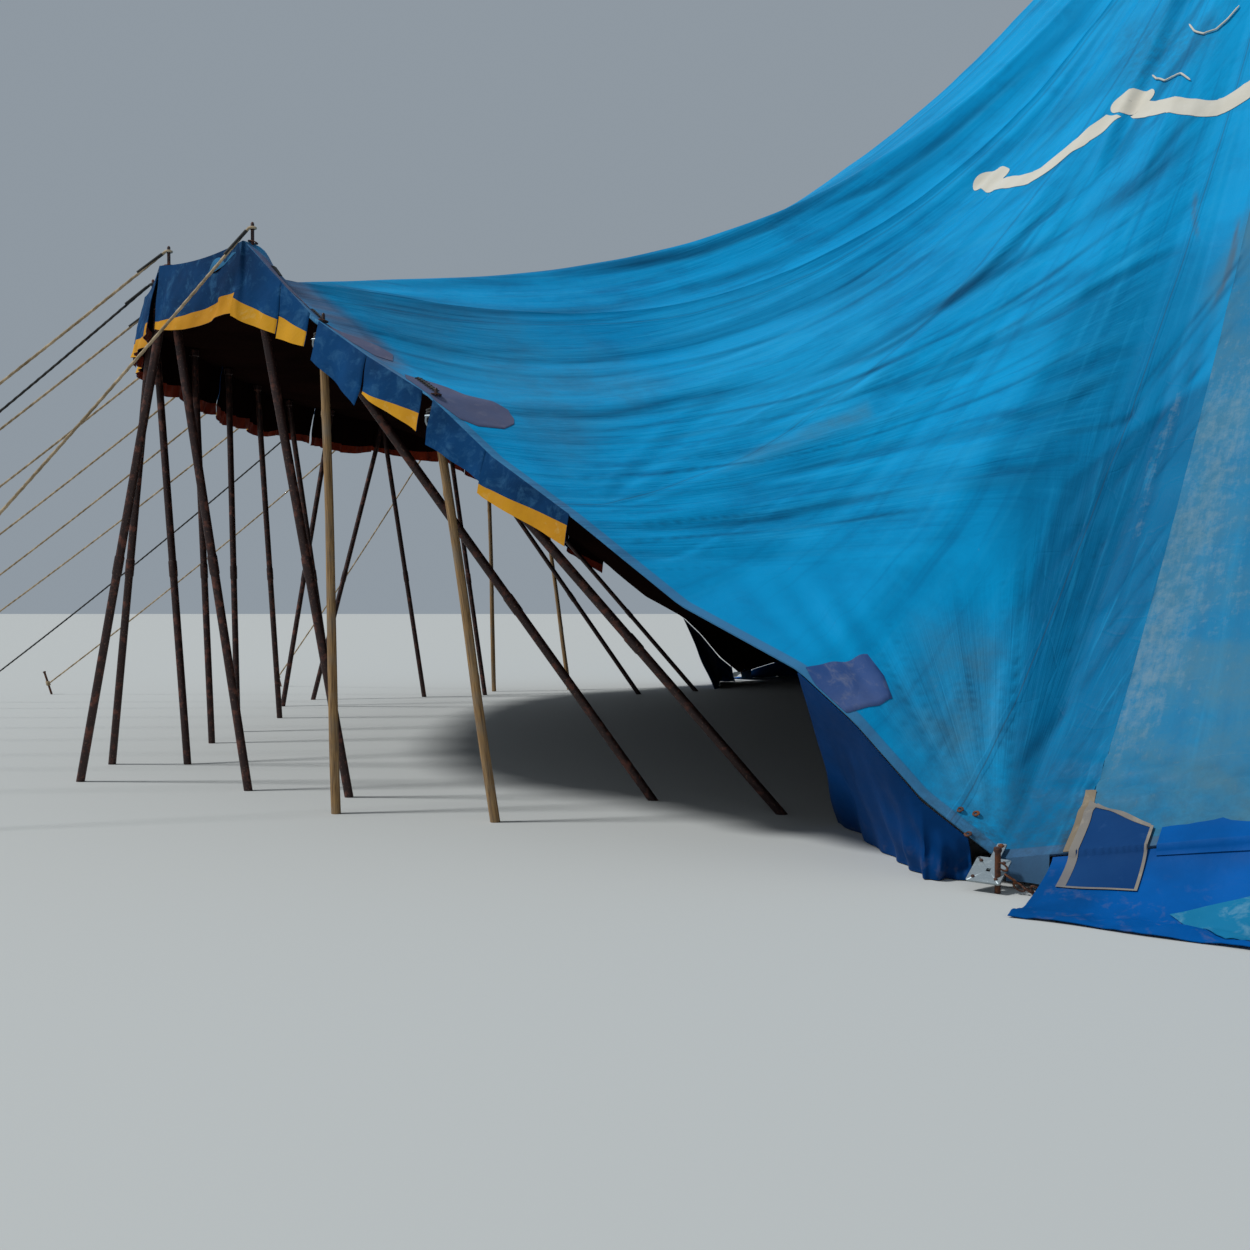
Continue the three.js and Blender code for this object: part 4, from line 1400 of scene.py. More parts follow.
@dataclass(frozen=True)
class PeeledTimber:
    """A peeled softwood pole, grey-brown where handled: long grain, checks and knots."""

    name: str = "peeled_pine_pole"
    light: str = "#b08a5a"
    dark: str = "#6f5334"
    grey: str = "#7d7467"

    def material(self) -> bpy.types.Material:
        """The nodes: grain 4 mm wide and half a metre long, read along the pole's own UV.

        Returns:
            The material.
        """
        s = Shader(self.name)
        cut = s.add("UVMap", {}, uv_map="cut")
        along = s.add("Mapping", {"Vector": cut, "Scale": (120.0, 5.0, 1.0)})
        grain = s.add("TexNoise", {"Vector": along, "Scale": 1.0, "Detail": 5.0,
                                   "Distortion": 0.6})
        soil = s.add("TexNoise", {"Vector": s.add("TexCoord", {}, "Object"), "Scale": 6.0,
                                  "Detail": 6.0})
        band = s.add("MapRange", {0: grain, 1: 0.35, 2: 0.65})
        base = s.add("Mix", {0: band, 6: linear(self.dark), 7: linear(self.light)}, **COLOUR)
        soil = s.add("MapRange", {0: soil, 1: 0.45, 2: 0.75, 4: 0.7})
        base = s.add("Mix", {0: soil, 6: base, 7: linear(self.grey)}, **COLOUR)
        facing = s.add("Bump", {"Strength": 0.7, "Distance": 0.002, "Height": grain})
        s.feed(s.surface, {"Base Color": base, "Roughness": 0.82, "Normal": facing})
        return s.material


@dataclass(frozen=True)
class LaidRope:
    """Three-strand laid rope: matt fibre, darker in the lay between the strands."""

    name: str
    colour: str
    lay: str

    def material(self) -> bpy.types.Material:
        """The nodes: fibres 2 mm wide along the rope, and soil in patches of 100 mm.

        Returns:
            The material.
        """
        s = Shader(self.name)
        cut = s.add("UVMap", {}, uv_map="cut")
        fibres = s.add("Mapping", {"Vector": cut, "Scale": (420.0, 60.0, 1.0)})
        fibre = s.add("TexNoise", {"Vector": fibres, "Scale": 1.0, "Detail": 3.0})
        soil = s.add("TexNoise", {"Vector": s.add("TexCoord", {}, "Object"), "Scale": 9.0,
                                  "Detail": 4.0})
        both = s.add("Math", {0: fibre, 1: 0.6, 2: soil}, **TIMES_ADD)
        dark = s.add("MapRange", {0: both, 1: 0.62, 2: 1.02})
        base = s.add("Mix", {0: dark, 6: linear(self.colour), 7: linear(self.lay)}, **COLOUR)
        facing = s.add("Bump", {"Strength": 0.6, "Distance": 0.001, "Height": fibre})
        s.feed(s.surface, {"Base Color": base, "Roughness": 0.9, "Normal": facing,
                           "Sheen Weight": 0.2})
        return s.material


@dataclass
class Finishes:
    """Every material of the tent, made once."""

    roof: Any = None

    def __post_init__(self) -> None:
        """Makes the materials from their finishes."""
        self.roof = CoatedCanvas().material()
        self.lining = PlainCloth("brown_blackout_lining", "#1c0f0c", "#120a08", "#37261f",
                                 0.1, 0.0, Weave.CANVAS, 0.95, 0.0).material()
        self.valance = PlainCloth("painted_canvas_valance", "#0b4576", "#052a4c", "#4a7fa6",
                                  0.62, gloss=0.08).material()
        self.yellow = PlainCloth("yellow_canvas_border", "#dd9c12", "#c07f0a", "#e8cf8a",
                                 0.35).material()
        self.red = PlainCloth("red_canvas_border", "#9a3212", "#6e1f0c", "#c27a4a",
                              0.3).material()
        self.royal = PlainCloth("royal_ground_cloth", "#0059a4", "#00437e", "#0f6cb0", 0.12,
                                0.3, Weave.COATED, 0.6, 0.06).material()
        # the same royal cloth as the ground cloth, made darker to paint the shade it hangs in
        self.curtain = PlainCloth("royal_curtain_painted_shade", "#003f7c", "#002f5e", "#0f5690", 0.12,
                                  0.3, Weave.COATED, 0.6, 0.06).material()
        self.indigo = PlainCloth("indigo_patch_canvas", "#0f3768", "#1a4272", "#476793",
                                 0.25, gloss=0.05).material()
        self.plum = PlainCloth("mauve_patch_canvas", "#35548a", "#62709a", "#95949f",
                               0.6, gloss=0.08).material()
        self.stitched = PlainCloth("frayed_tan_stitching", "#8f8576", "#6d6a6c", "#b8aa94",
                                   0.5, 0.0, Weave.WEBBING).material()
        self.aqua = PlainCloth("pale_teal_patch_canvas", "#14749c", "#2b86a6", "#8fb4c0",
                               0.6, gloss=0.1).material()
        self.cream = PlainCloth("cream_sewn_canvas", "#ddd5c6", "#cfc6b4", "#efe9df",
                                0.3).material()
        self.tan = PlainCloth("tan_dirty_webbing", "#8d7c66", "#6f6252", "#b5a68d", 0.5,
                              0.0, Weave.WEBBING).material()
        self.grey = PlainCloth("grey_worn_webbing", "#625f74", "#4c5a7c", "#86848f", 0.5,
                               0.0, Weave.WEBBING).material()
        self.pole = WornMetal("painted_pole_steel", "#331f1c", "#74483c", "#8f6a58", 0.3,
                              0.5, 0.35).material()
        self.rust = WornMetal("rusty_stake_steel", "#4c3127", "#7d4a2c", "#a5683c", 0.35,
                              0.7, 0.7).material()
        self.zinc = WornMetal("galvanised_plate_steel", "#9aa3a6", "#7c8385", "#b8bdbd", 0.85,
                              0.42, 0.3).material()
        self.mast = WornMetal("galvanised_mast_tube", "#8f979a", "#757d80", "#aab0b2", 0.85,
                              0.45, 0.3, 6.0).material()
        self.timber = PeeledTimber().material()
        self.hemp = LaidRope("hemp_rope", "#c4ab88", "#7d6848").material()
        self.tarred = LaidRope("tarred_rope", "#34322e", "#191816").material()


# the roof


@dataclass
class Roof:
    """The membrane in its panels, with wear, painted shade and painted highlights where the
    photograph shows them.
    """

    finishes: Finishes
    depth: float = 0.010
    bleached: tuple = (
        (Region(((860, 700), (905, 600), (1040, 590), (1030, 850), (925, 830)), 80,
                "roof_side"), 0.8),
        (Region(((1000, 900), (1160, 100), (1600, 100), (1600, 900)), 30, "roof_wall"), 0.75),
        (Region(((1100, 660), (1200, 620), (1400, 620), (1400, 840), (1080, 840)), 50,
                "roof_wall"), 0.2),
        (Region(((700, 480), (760, 440), (870, 396), (880, 420), (760, 470)), 12,
                "roof_side"), 0.6),
        (Region(((1190, 300), (1250, 190), (1300, 190), (1215, 330)), 20, "roof_side"), 0.6),
        (Region(((250, 250), (500, 275), (700, 380), (560, 500), (420, 380)), 40,
                "roof_side"), 0.3))
    teals: tuple = (
        (Region(((1019, 600), (1060, 480), (1300, 300), (1150, 900), (990, 880)), 16,
                "roof_side"), 0.9),
        (Region(((960, 480), (1060, 250), (1300, 200), (1150, 620), (1000, 640)), 70,
                "roof_side"), 0.6),
        (Region(((1000, 900), (1160, 100), (1600, 100), (1600, 900)), 12, "roof_wall"), 0.70))
    # darker patches in the soot colour: painted shade over the laced fold at the top right, and
    # dark marks along the slit by the corner plate and along the seam's foot
    grime_and_shade_areas: tuple = (
        (Region(((1090, 0), (1250, 0), (1230, 60), (1110, 140)), 40), 0.35),
        (Stroke(((955, 806), (985, 840), (1000, 866), (1050, 886)), 16), 0.35),
        (Stroke(((1053, 884), (1090, 792)), 12), 0.5))
    rusts: tuple = (
        (Stroke(((1239, 216), (1234, 248), (1227, 277), (1213, 306)), 3, "roof_side"), 0.7),
        (Stroke(((1196, 190), (1194, 215), (1198, 240)), 3, "roof_side"), 0.5))
    scuffed: tuple = (
        (Stroke(((1184, 369), (1179, 398), (1166, 434), (1154, 459), (1147, 495), (1130, 560)),
                9, "roof_side"), 0.9),
        (Stroke(((1108, 483), (1118, 459), (1125, 440)), 8, "roof_side"), 0.6),
        (Stroke(((1240, 330), (1215, 440), (1190, 520), (1165, 620), (1135, 700), (1105, 780)),
                44, "roof_wall"), 0.60),
        (Region(((1085, 800), (1215, 215), (1400, 215), (1300, 640), (1150, 800)), 110,
                "roof_wall"), 0.55),
        (Region(((1100, 640), (1175, 560), (1190, 640), (1130, 800), (1090, 800)), 24,
                "roof_wall"), 0.35))
    band_line: tuple = ((247, 246), (285, 279), (320, 306), (370, 344), (414, 382))
    # how strongly the measured dark and bright lines are painted as shade and highlights
    line_paint: float = 0.5
    lit: tuple = (
        (Region(((620, 300), (720, 240), (900, 240), (930, 330), (880, 430), (690, 450)), 60,
                "roof_side"), 0.30),)

    def marks(self, node: str, g: Array, u: Array, points: Array) -> dict[str, Array]:
        """Wear, painted shade and painted highlights for each point: what the photograph's areas
        and the cloth's own place give.

        Args:
            node: The panel's node.
            g: Distances along the hem.
            u: Shares of the way from the crown.
            points: The creased membrane's points.

        Returns:
            Numbers by attribute name.
        """
        columns, rows, _ = PHOTO.pixels(points)
        near = (1 - soft_step(points[..., 0], -3.4, -2.0)) \
            * soft_step(np.abs(points[..., 1]), 1.0, 3.0)
        lines = {"shade": VALLEYS, "ridge": (*RIDGES, CROSSING)}
        areas = {"pale": self.bleached, "teal": self.teals, "grime": self.grime_and_shade_areas,
                 "rusty": self.rusts, "scuffs": self.scuffed, "lit": self.lit}
        areas |= {name: tuple((line, line.weight) for line in held)
                  for name, held in lines.items()}
        patch = {}
        for name, held in areas.items():
            total = sum((w * r.share(columns, rows) for r, w in held if node.startswith(r.node)),
                        np.zeros(columns.shape))
            patch[name] = near * np.clip(total, 0, 1) * (self.line_paint if name in lines else 1)
        hem = FORM.hem(g)
        reach = np.hypot(hem[..., 0], hem[..., 1])
        far = 1 - near
        base = FORM.point(g, u)
        slack = CREASES.height(g, u, base)
        slow = ripples(points, 6.0, 31)
        patch["pale"] = np.clip(patch["pale"] + far * 0.55 * soft_step(slow, 0.1, 0.9)
                                * soft_step(u, 0.3, 0.8), 0, 1)
        patch["teal"] = np.clip(patch["teal"] + far * 0.5 * soft_step(ripples(points, 7.0, 33),
                                                                      0.2, 0.9), 0, 1)
        patch["grime"] = np.clip(patch["grime"] + 0.5 * (1 - soft_step(points[..., 2], 0.1, 0.9)),
                                 0, 1)
        band = Stroke(self.band_line, 15.0).share(columns, rows)
        patch["band"] = near * band * soft_step(-points[..., 0], 8.6, 9.0)
        patch["rim"] = np.linalg.norm(base - hem, axis=-1)
        patch["taper"] = np.hypot(base[..., 0], base[..., 1]) / reach
        right, above = columns - CREASES.foot[0], CREASES.foot[1] - rows
        patch["along"] = (columns - 0.6 * rows) / 100
        patch["across"] = GRAIN.across(columns, rows) / 100
        patch["turned"] = CREASES.foot_scale * np.arctan2(above, right) / 100
        patch["grained"] = near * CREASES.long_area.share(columns, rows)
        patch["fanned"] = near * CREASES.fan_share(columns, rows)
        # painted shade in the valleys of the fold bundles and in the cloth's low places, and
        # painted highlights on its raised places and in the lit area
        patch["shade"] = patch["shade"] + 0.5 * near * CREASES.bundled(columns, rows)[1]
        patch["shade"] = np.clip(patch["shade"] + 0.25 * soft_step(-slack, 0.014, 0.05)
                                 * (u < 0.96), 0, 0.85)
        high = soft_step(slack, 0.016, 0.05) * soft_step(1 - u, 0.02, 0.05)
        patch["ridge"] = np.clip(patch["ridge"] + patch.pop("lit") + 0.3 * high, 0, 1)
        return patch

    def panel(self, node: str, start: float, end: float, columns: int, rows: int) -> None:
        """One panel as a sheet: the creased membrane between two meridians.

        Args:
            node: The CAD node that it stands for.
            start: Distance along the hem where it starts.
            end: Distance where it ends.
            columns: Points across it, an odd number.
            rows: Points from crown to hem, an odd number.
        """
        way = math.copysign(SEAT_GAP / 2, end - start)
        g = np.linspace(start + way, end - way, columns)[:, None]
        u = FORM.even_shares((start + end) / 2, rows)[None]
        outer = skin(g, u)
        base = FORM.point(g, u)
        low = lowest_near(CREASES.height(g, u, base)) - self.depth
        inner = base + FORM.lift(g, u) * low[..., None]
        gs, us = np.broadcast_arrays(g, u)
        down = np.concatenate([np.zeros((columns, 1)), np.cumsum(
            np.linalg.norm(np.diff(FORM.point(gs, us), axis=1), axis=-1), 1)], 1)
        parts = Parts()
        parts.cloth(outer, inner, np.stack([gs, down], -1), (0, 1), coarse=True,
                    marks=self.marks(node, gs, us, outer))
        piece = parts.build(f"{node}_cloth", [self.finishes.roof, self.finishes.lining],
                            "blue_membrane", [node], sharp=80)

    def build(self) -> None:
        """All nine panels, finest where the photograph looks."""
        corner, seam = FORM.at_head(5), FORM.at_bay(FORM.seam_share)
        ends = [seam, FORM.at_bay(1), FORM.at_bay(2), FORM.at_bay(3)]
        self.panel("roof_entrance_lip", corner, -corner, 221, 141)
        self.panel("roof_side_right", corner, seam, 201, 355)
        self.panel("roof_side_left", -corner, -seam, 101, 161)
        self.panel("roof_wall_1", ends[0], ends[1], 161, 201)
        for k, (a, b) in enumerate(zip(ends[1:-1], ends[2:])):
            self.panel(f"roof_wall_{k + 2}", a, b, 91, 121)
        for k, (a, b) in enumerate(zip(ends[:-1], ends[1:])):
            self.panel(f"roof_wall_{6 - k}", -a, -b, 91, 121)


@dataclass
class SewnWork:
    """What is sewn on the roof: patches, webbing, reinforcement and the cream swags."""

    finishes: Finishes
    over: float = 0.005
    swag_width: float = 0.19
    swag_drop: float = 0.035
    swag_share: float = 0.475
    round_radius: float = 0.17
    lip_fall: float = 10.6

    def strip(self, parts: Parts, g: Array, u: Array) -> float:
        """A thin closed patch over the membrane, from grids of g and u.

        Args:
            parts: Where it is added.
            g: Distances along the hem, as a grid.
            u: Shares of the way from the crown, as a grid.

        Returns:
            Its area.
        """
        face = skin(g, u, self.over)
        back = skin(g, u, self.over - 0.003)
        walk = np.linalg.norm(np.diff(face, axis=0), axis=-1)
        down = np.linalg.norm(np.diff(face, axis=1), axis=-1)
        uv = np.stack([np.vstack([np.zeros((1, face.shape[1])), np.cumsum(walk, 0)]),
                       np.hstack([np.zeros((face.shape[0], 1)), np.cumsum(down, 1)])], -1)
        parts.cloth(face, back, uv)
        return area_of(face)

    def seen(self, parts: Parts, left: Sequence[tuple[float, float]],
             right: Sequence[tuple[float, float]], columns: int, rows: int, guess: tuple,
             side: int = 1) -> float:
        """A patch whose two long sides were measured in the photograph.

        Args:
            parts: Where it is added.
            left: Pixels down its left side.
            right: As many pixels down its right side.
            columns: Points across it.
            rows: Points down it.
            guess: A first guess at its g and u.
            side: 1 for the side of the photograph and -1 for its mirror image.

        Returns:
            Its area.
        """
        t = np.linspace(0, len(left) - 1, rows)
        sides = [along_line(line, t) for line in (left, right)]
        share = np.linspace(0, 1, columns)[:, None, None]
        pixels = sides[0] + (sides[1] - sides[0]) * share
        g, u = place_of(pixels[..., 0], pixels[..., 1], *guess)
        return self.strip(parts, side * g, np.minimum(u, 0.9995))

    def steps(self, g: Any, u: Any, way: Array) -> tuple[Array, Array]:
        """How far g and u change for one metre along a direction on the membrane, by least
        squares on the surface's own two directions.

        Args:
            g: Distances along the hem.
            u: Shares of the way from the crown.
            way: Unit directions there.

        Returns:
            The changes of g and of u.
        """
        across = (FORM.point(g + 0.02, u) - FORM.point(g - 0.02, u)) / 0.04
        down = (FORM.point(g, u + 0.002) - FORM.point(g, u - 0.002)) / 0.004
        aa, ad, dd = (np.sum(p * q, -1) for p, q in ((across, across), (across, down),
                                                     (down, down)))
        a, d = np.sum(across * way, -1), np.sum(down * way, -1)
        det = aa * dd - ad * ad
        return (a * dd - d * ad) / det, (d * aa - a * ad) / det

    def ribbon(self, parts: Parts, g: Array, u: Array, width: float) -> float:
        """A band of even width along a line on the membrane, spread square to the line.

        Args:
            parts: Where it is added.
            g: Distances along the hem, one a point of the line.
            u: Shares of the way from the crown.
            width: The band's width in metres.

        Returns:
            Its area.
        """
        ways = np.gradient(FORM.point(g, u), axis=0)
        aside = np.cross(FORM.lift(g, u), ways)
        aside /= np.linalg.norm(aside, axis=1, keepdims=True)
        dg, du = self.steps(g, u, aside)
        v = np.linspace(-0.5, 0.5, 9)[None] * width
        return self.strip(parts, g[:, None] + dg[:, None] * v, u[:, None] + du[:, None] * v)

    def swags(self) -> None:
        """A sewn cream band in swags with a round piece where two swags meet: a plain
        ornament that goes round the tent half way up."""
        f = self.finishes
        stops = np.append(FORM.at_edge(np.array([0.16, 0.62])),
                          FORM.at_bay(np.array([0.12, 0.6, 1.1, 1.6, 2.07, 2.53, 3.0])))
        for side, word in SIDES:
            parts, total = Parts(), 0.0
            for a, b in zip(stops[:-1], stops[1:]):
                t = np.linspace(0, 1, 81)
                g, u = side * (a + (b - a) * t), self.swag_share + self.swag_drop * 4 * t * (1 - t)
                total += self.ribbon(parts, g[6:-6], u[6:-6], self.swag_width)
            turn = np.linspace(0, 2 * np.pi, 33)[:, None]
            r = np.linspace(0.02, 1, 7)[None] * self.round_radius
            for stop in stops:
                g, u = np.array(side * stop), np.array(self.swag_share)
                level = np.cross(FORM.lift(g, u), UP)
                level /= np.linalg.norm(level)
                (g1, u1), (g2, u2) = (self.steps(g, u, way)
                                      for way in (level, np.cross(FORM.lift(g, u), level)))
                total += self.strip(parts, g + r * (np.cos(turn) * g1 + np.sin(turn) * g2),
                                    u + r * (np.cos(turn) * u1 + np.sin(turn) * u2))
            piece = parts.build(f"swag_band_{word}", [f.cream], "blue_membrane", sharp=60)

    def ring(self, parts: Parts, g: float, u: float, inner: float, outer: float,
             over: float) -> None:
        """An eyelet: a flat ring that lies on the cloth.

        Args:
            parts: Where it is added.
            g: Its distance along the hem.
            u: Its share of the way from the crown.
            inner: The radius of its hole.
            outer: Its own radius.
            over: How far it lies off the cloth's face.
        """
        spot = skin(np.array(g), np.array(u), over)
        way = FORM.lift(np.array(g), np.array(u))
        parts.turned([(inner, 0.0), (inner, 0.003), ((inner + outer) / 2, 0.0055),
                      (outer, 0.003), (outer, -0.002)], spot, 22, way, join=True)

    def eyelets(self) -> None:
        """Rusty eyelets round the spikes, and three loose ones over the corner plate."""
        for side, word in SIDES:
            parts = Parts()
            places = [FORM.at_head(k) for k in range(0 if side > 0 else 1, 6)]
            for g in places + [FORM.at_edge(0.123), FORM.at_edge(0.304)]:
                self.ring(parts, side * g, FORM.head_share(g), 0.0165, 0.036, 0.010)
            for column, row in ((960, 810), (976, 814), (961, 845)):
                g, u = place_of(np.array([column]), np.array([row]), FORM.at_edge(0.93), 0.97)
                self.ring(parts, side * float(g[0]), float(u[0]), 0.008, 0.021, 0.004)
            parts.build(f"roof_eyelets_{word}", [self.finishes.rust], "dark_steel")

    def seam_ties(self) -> None:
        """The slack pale cords that tie the laced fold, laid on the cloth."""
        parts = Parts()
        for line in (((1190, 26), (1195, 33), (1205, 36), (1217, 32), (1228, 22), (1240, 8)),
                     ((1152, 74), (1157, 80), (1165, 81), (1173, 77), (1182, 76), (1191, 82))):
            t = np.linspace(0, len(line) - 1, 41)
            g, u = place_of(*along_line(line, t).T, FORM.at_edge(0.8), 0.5)
            path = skin(g, u, 0.014)
            parts.tube(path, 0.008 * np.clip(6 * np.sin(np.pi * np.linspace(0.02, 0.98, 41)),
                                             0.3, 1), 8, UP)
        parts.build("seam_tie_cords", [self.finishes.cream], "hemp_rope")

    def patches(self) -> None:
        """The patches and webbing of the photograph's side of the tent."""
        f = self.finishes
        foot = FORM.at_bay(0.06)
        jobs = (
            ("mauve_patch", f.plum, ((806, 668), (818, 690), (838, 716)),
             ((868, 656), (884, 676), (893, 700)), 17, 11, (FORM.at_edge(0.75), 0.96)),
            ("seam_foot_webbing", f.tan, ((1086, 791), (1072, 830), (1055, 872)),
             ((1097, 792), (1083, 834), (1068, 876)), 5, 21, (foot, 0.97)))
        for name, finish, left, right, columns, rows, guess in jobs:
            parts = Parts()
            total = self.seen(parts, left, right, columns, rows, guess)
            piece = parts.build(name, [finish], "blue_membrane", sharp=60)

    def over_hem(self, skirts: Any, g: Array, down: Array, over: float) -> Array:
        """Cloth that lies on the wall above its hem and on the ground cloth below it.

        Args:
            skirts: The ground cloths.
            g: Distances along the hem.
            down: Metres above the hem where negative, shares of the ground cloth below it.
            over: How far off the cloth beneath, in metres.

        Returns:
            Points, in the shape of g and down together.
        """
        above = skin(g, 1 + np.minimum(down, 0) / BAY_FALL, over) + FORM.outward(g) * 0.010
        below = skirts.surface(g, np.maximum(down, 0.0)) + FORM.outward(g) * (over + 0.004)
        return np.where((down <= 0)[..., None], above, below)

    def laps(self, skirts: Any) -> None:
        """The top of each ground cloth, sewn over the wall's hem with an uneven edge.

        Args:
            skirts: The ground cloths.
        """
        for number, (bay, side) in enumerate(BAYS, start=1):
            first = 0.105 if bay == 0 else 0.05
            g = side * np.linspace(FORM.at_bay(bay + first), FORM.at_bay(bay + 0.95), 161)[:, None]
            high = 0.13 + 0.016 * ripples(FORM.hem(g), 0.34, 91) + 0.01 * ripples(FORM.hem(g),
                                                                                 0.09, 92)
            fall = np.linspace(0, 1, 15)[None]
            down = -high * (1 - fall) + 0.05 * fall
            face = self.over_hem(skirts, g, down, 0.005)
            parts = Parts()
            parts.cloth(face, self.over_hem(skirts, g, down, 0.002))
            piece = parts.build(f"ground_skirt_{number}_lap", [self.finishes.royal],
                                "royal_cloth", sharp=80)

    def pockets(self) -> None:
        """Beside every corner plate the wall's cloth goes on below its hem, nearly to the
        ground."""
        for number, (bay, side) in enumerate(CORNERS, start=1):
            parts, total, long = Parts(), 0.0, 0.0
            for way in (1, -1):
                if bay == 0 and way < 0:
                    continue
                b = np.linspace(0.006, 0.036, 15)
                g = side * (FORM.at_bay(bay + way * b) if bay < 3
                            else FORM.at_bay(6 - bay - b) * way)[:, None]
                fall = np.linspace(0, 1, 13)[None]
                hem = FORM.hem(g)
                drop = (hem[..., 2] - 0.035 - 0.008 * ripples(hem, 0.2, 95)) * fall
                out = 0.007 + 0.012 * ripples(hem, 0.3, 96) ** 2 * fall
                face = hem + FORM.outward(g) * out[..., None] - UP * drop[..., None]
                parts.cloth(face, face - FORM.outward(g) * 0.004)
                total, long = total + area_of(face), long + lengths(face)[0]
            piece = parts.build(f"corner_pocket_{number}", [self.finishes.roof],
                                "blue_membrane", sharp=80)

    def foot_patch(self, skirts: Any) -> None:
        """The indigo patch that goes from the wall over its hem on to the ground cloth, with
        frayed tan borders, and the pale patch sewn on the ground cloth beside it.

        Args:
            skirts: The ground cloths.
        """
        low, high = FORM.at_bay(0.054), FORM.at_bay(0.099)

        def grid(first: float, last: float, top: float, foot: float, over: float) -> Array:
            """Part of the patch: shares of its width and of its height, over the cloth."""
            share = np.linspace(first, last, 41)[:, None]
            g = low + (high - low) * share
            fall = np.linspace(top, foot, 49)[None]
            down = (0.20 * share - 0.34) * (1 - fall) + 0.34 * fall
            return self.over_hem(skirts, g, down, over)

        f = self.finishes
        pieces = {"indigo_patch": (f.indigo, ((0, 1, 0, 1, 0.008),)),
                  "indigo_patch_border": (f.stitched, (
                      (-0.11, 0.03, 0.0, 1.0, 0.012), (0.965, 1.01, 0.0, 1.0, 0.012),
                      (0.03, 0.965, -0.01, 0.035, 0.012), (0.03, 0.965, 0.975, 1.0, 0.012)))}
        for name, (finish, strips) in pieces.items():
            parts, total, longest = Parts(), 0.0, (0.0, 0.0)
            for *spot, over in strips:
                face = grid(*spot, over)
                parts.cloth(face, grid(*spot, over - 0.003))
                total += area_of(face)
                longest = max(longest, lengths(face))
            piece = parts.build(name, [finish], "blue_membrane", sharp=80)
        share, fall = np.linspace(0, 1, 61)[:, None], np.linspace(0, 1, 31)[None]
        bays = (0.122 + 0.020 * fall) * (1 - share) + 0.195 * share
        g = np.interp(bays, (0.1, 0.2), (FORM.at_bay(0.1), FORM.at_bay(0.2)))
        top, foot = 0.52 - 0.30 * share, 0.66 + 0.32 * share ** 0.7
        down = top + (foot - top) * fall
        face = skirts.surface(g, down) + UP * 0.007 + FORM.outward(g) * 0.004
        parts = Parts()
        parts.cloth(face, face - UP * 0.003)
        piece = parts.build("pale_teal_patch", [f.aqua], "royal_cloth", sharp=80)

    def tongues(self) -> None:
        """Reinforcement at each spike: webbing with a round end. Three were measured in the
        photograph, on the sloping edge; those of the front run straight in from the hem."""
        measured = (
            (((247, 244), (268, 259), (285, 274), (300, 288), (306, 295)),
             ((248, 250), (262, 263), (280, 281), (296, 296), (306, 303)),
             (FORM.at_edge(0.05), 0.985)),
            (((300, 297), (316, 303), (331, 311), (358, 326), (380, 338), (394, 347)),
             ((304, 303), (318, 312), (332, 321), (356, 336), (378, 347), (394, 352)),
             (FORM.at_edge(0.16), 0.975)),
            (((405, 373), (421, 376), (436, 381), (465, 393), (492, 401), (508, 409),
              (514, 418)),
             ((406, 378), (421, 389), (434, 400), (460, 419), (478, 426), (504, 428),
              (514, 423)), (FORM.at_edge(0.33), 0.96)))
        for side, word in SIDES:
            parts, total = Parts(), 0.0
            for upper, lower, guess in measured:
                total += self.seen(parts, upper, lower, 9, 49, guess, side=side)
            for head in range(0 if side > 0 else 1, 5):
                t = np.linspace(0, 1, 27)[None]
                v = np.linspace(-1, 1, 9)[:, None]
                width = 0.07 * np.sqrt(np.clip(1 - (np.clip(t - 0.8, 0, 1) / 0.2) ** 2, 0.001, 1))
                u = 1 - (0.012 + 0.55 * t + 0 * v) / self.lip_fall
                total += self.strip(parts, side * (FORM.at_head(head) + v * width), u)
            piece = parts.build(f"head_tongues_{word}", [self.finishes.grey], "blue_membrane",
                                sharp=60)
            self.slits(word, side)

    def slits(self, word: str, side: int) -> None:
        """The black laced slit beside each of those tongues, as a cord over small stitches.

        Args:
            word: The side's name.
            side: 1 for right and -1 for left.
        """
        lines = (((274, 265), (281, 271)), ((314, 301), (328, 314)), ((418, 377), (437, 393)))
        guesses = (0.05, 0.14, 0.32)
        parts = Parts()
        for ends, share in zip(lines, guesses):
            t = np.linspace(0, 1, 25)
            g, u = place_of(ends[0][0] + (ends[1][0] - ends[0][0]) * t,
                            ends[0][1] + (ends[1][1] - ends[0][1]) * t,
                            FORM.at_edge(share), 0.98)
            path = skin(side * g, np.minimum(u, 0.999), self.over + 0.008)
            parts.tube(path, 0.009, 8, UP)
            for k in range(1, 24, 3):
                way = path[min(k + 1, 24)] - path[k - 1]
                cross = np.cross(way / np.linalg.norm(way), UP)
                cross /= np.linalg.norm(cross)
                parts.tube(np.array([path[k] - cross * 0.028, path[k] + UP * 0.004,
                                     path[k] + cross * 0.028]), 0.005, 6, UP)
        parts.build(f"laced_slits_{word}", [self.finishes.tarred], "hemp_rope")

    def build(self) -> None:
        """Everything that is sewn on."""
        self.swags()
        self.patches()
        self.foot_patch(GroundSkirts(self.finishes))
        self.laps(GroundSkirts(self.finishes))
        self.pockets()
        self.tongues()
        self.eyelets()
        self.seam_ties()


# hanging cloth


@dataclass(frozen=True)
class Flap:
    """A flap of a valance: shares of its edge, and its drop and yellow border, both in
    metres, where it starts and where it ends."""

    start: float
    end: float
    drops: tuple
    borders: tuple = (0.0, 0.0)


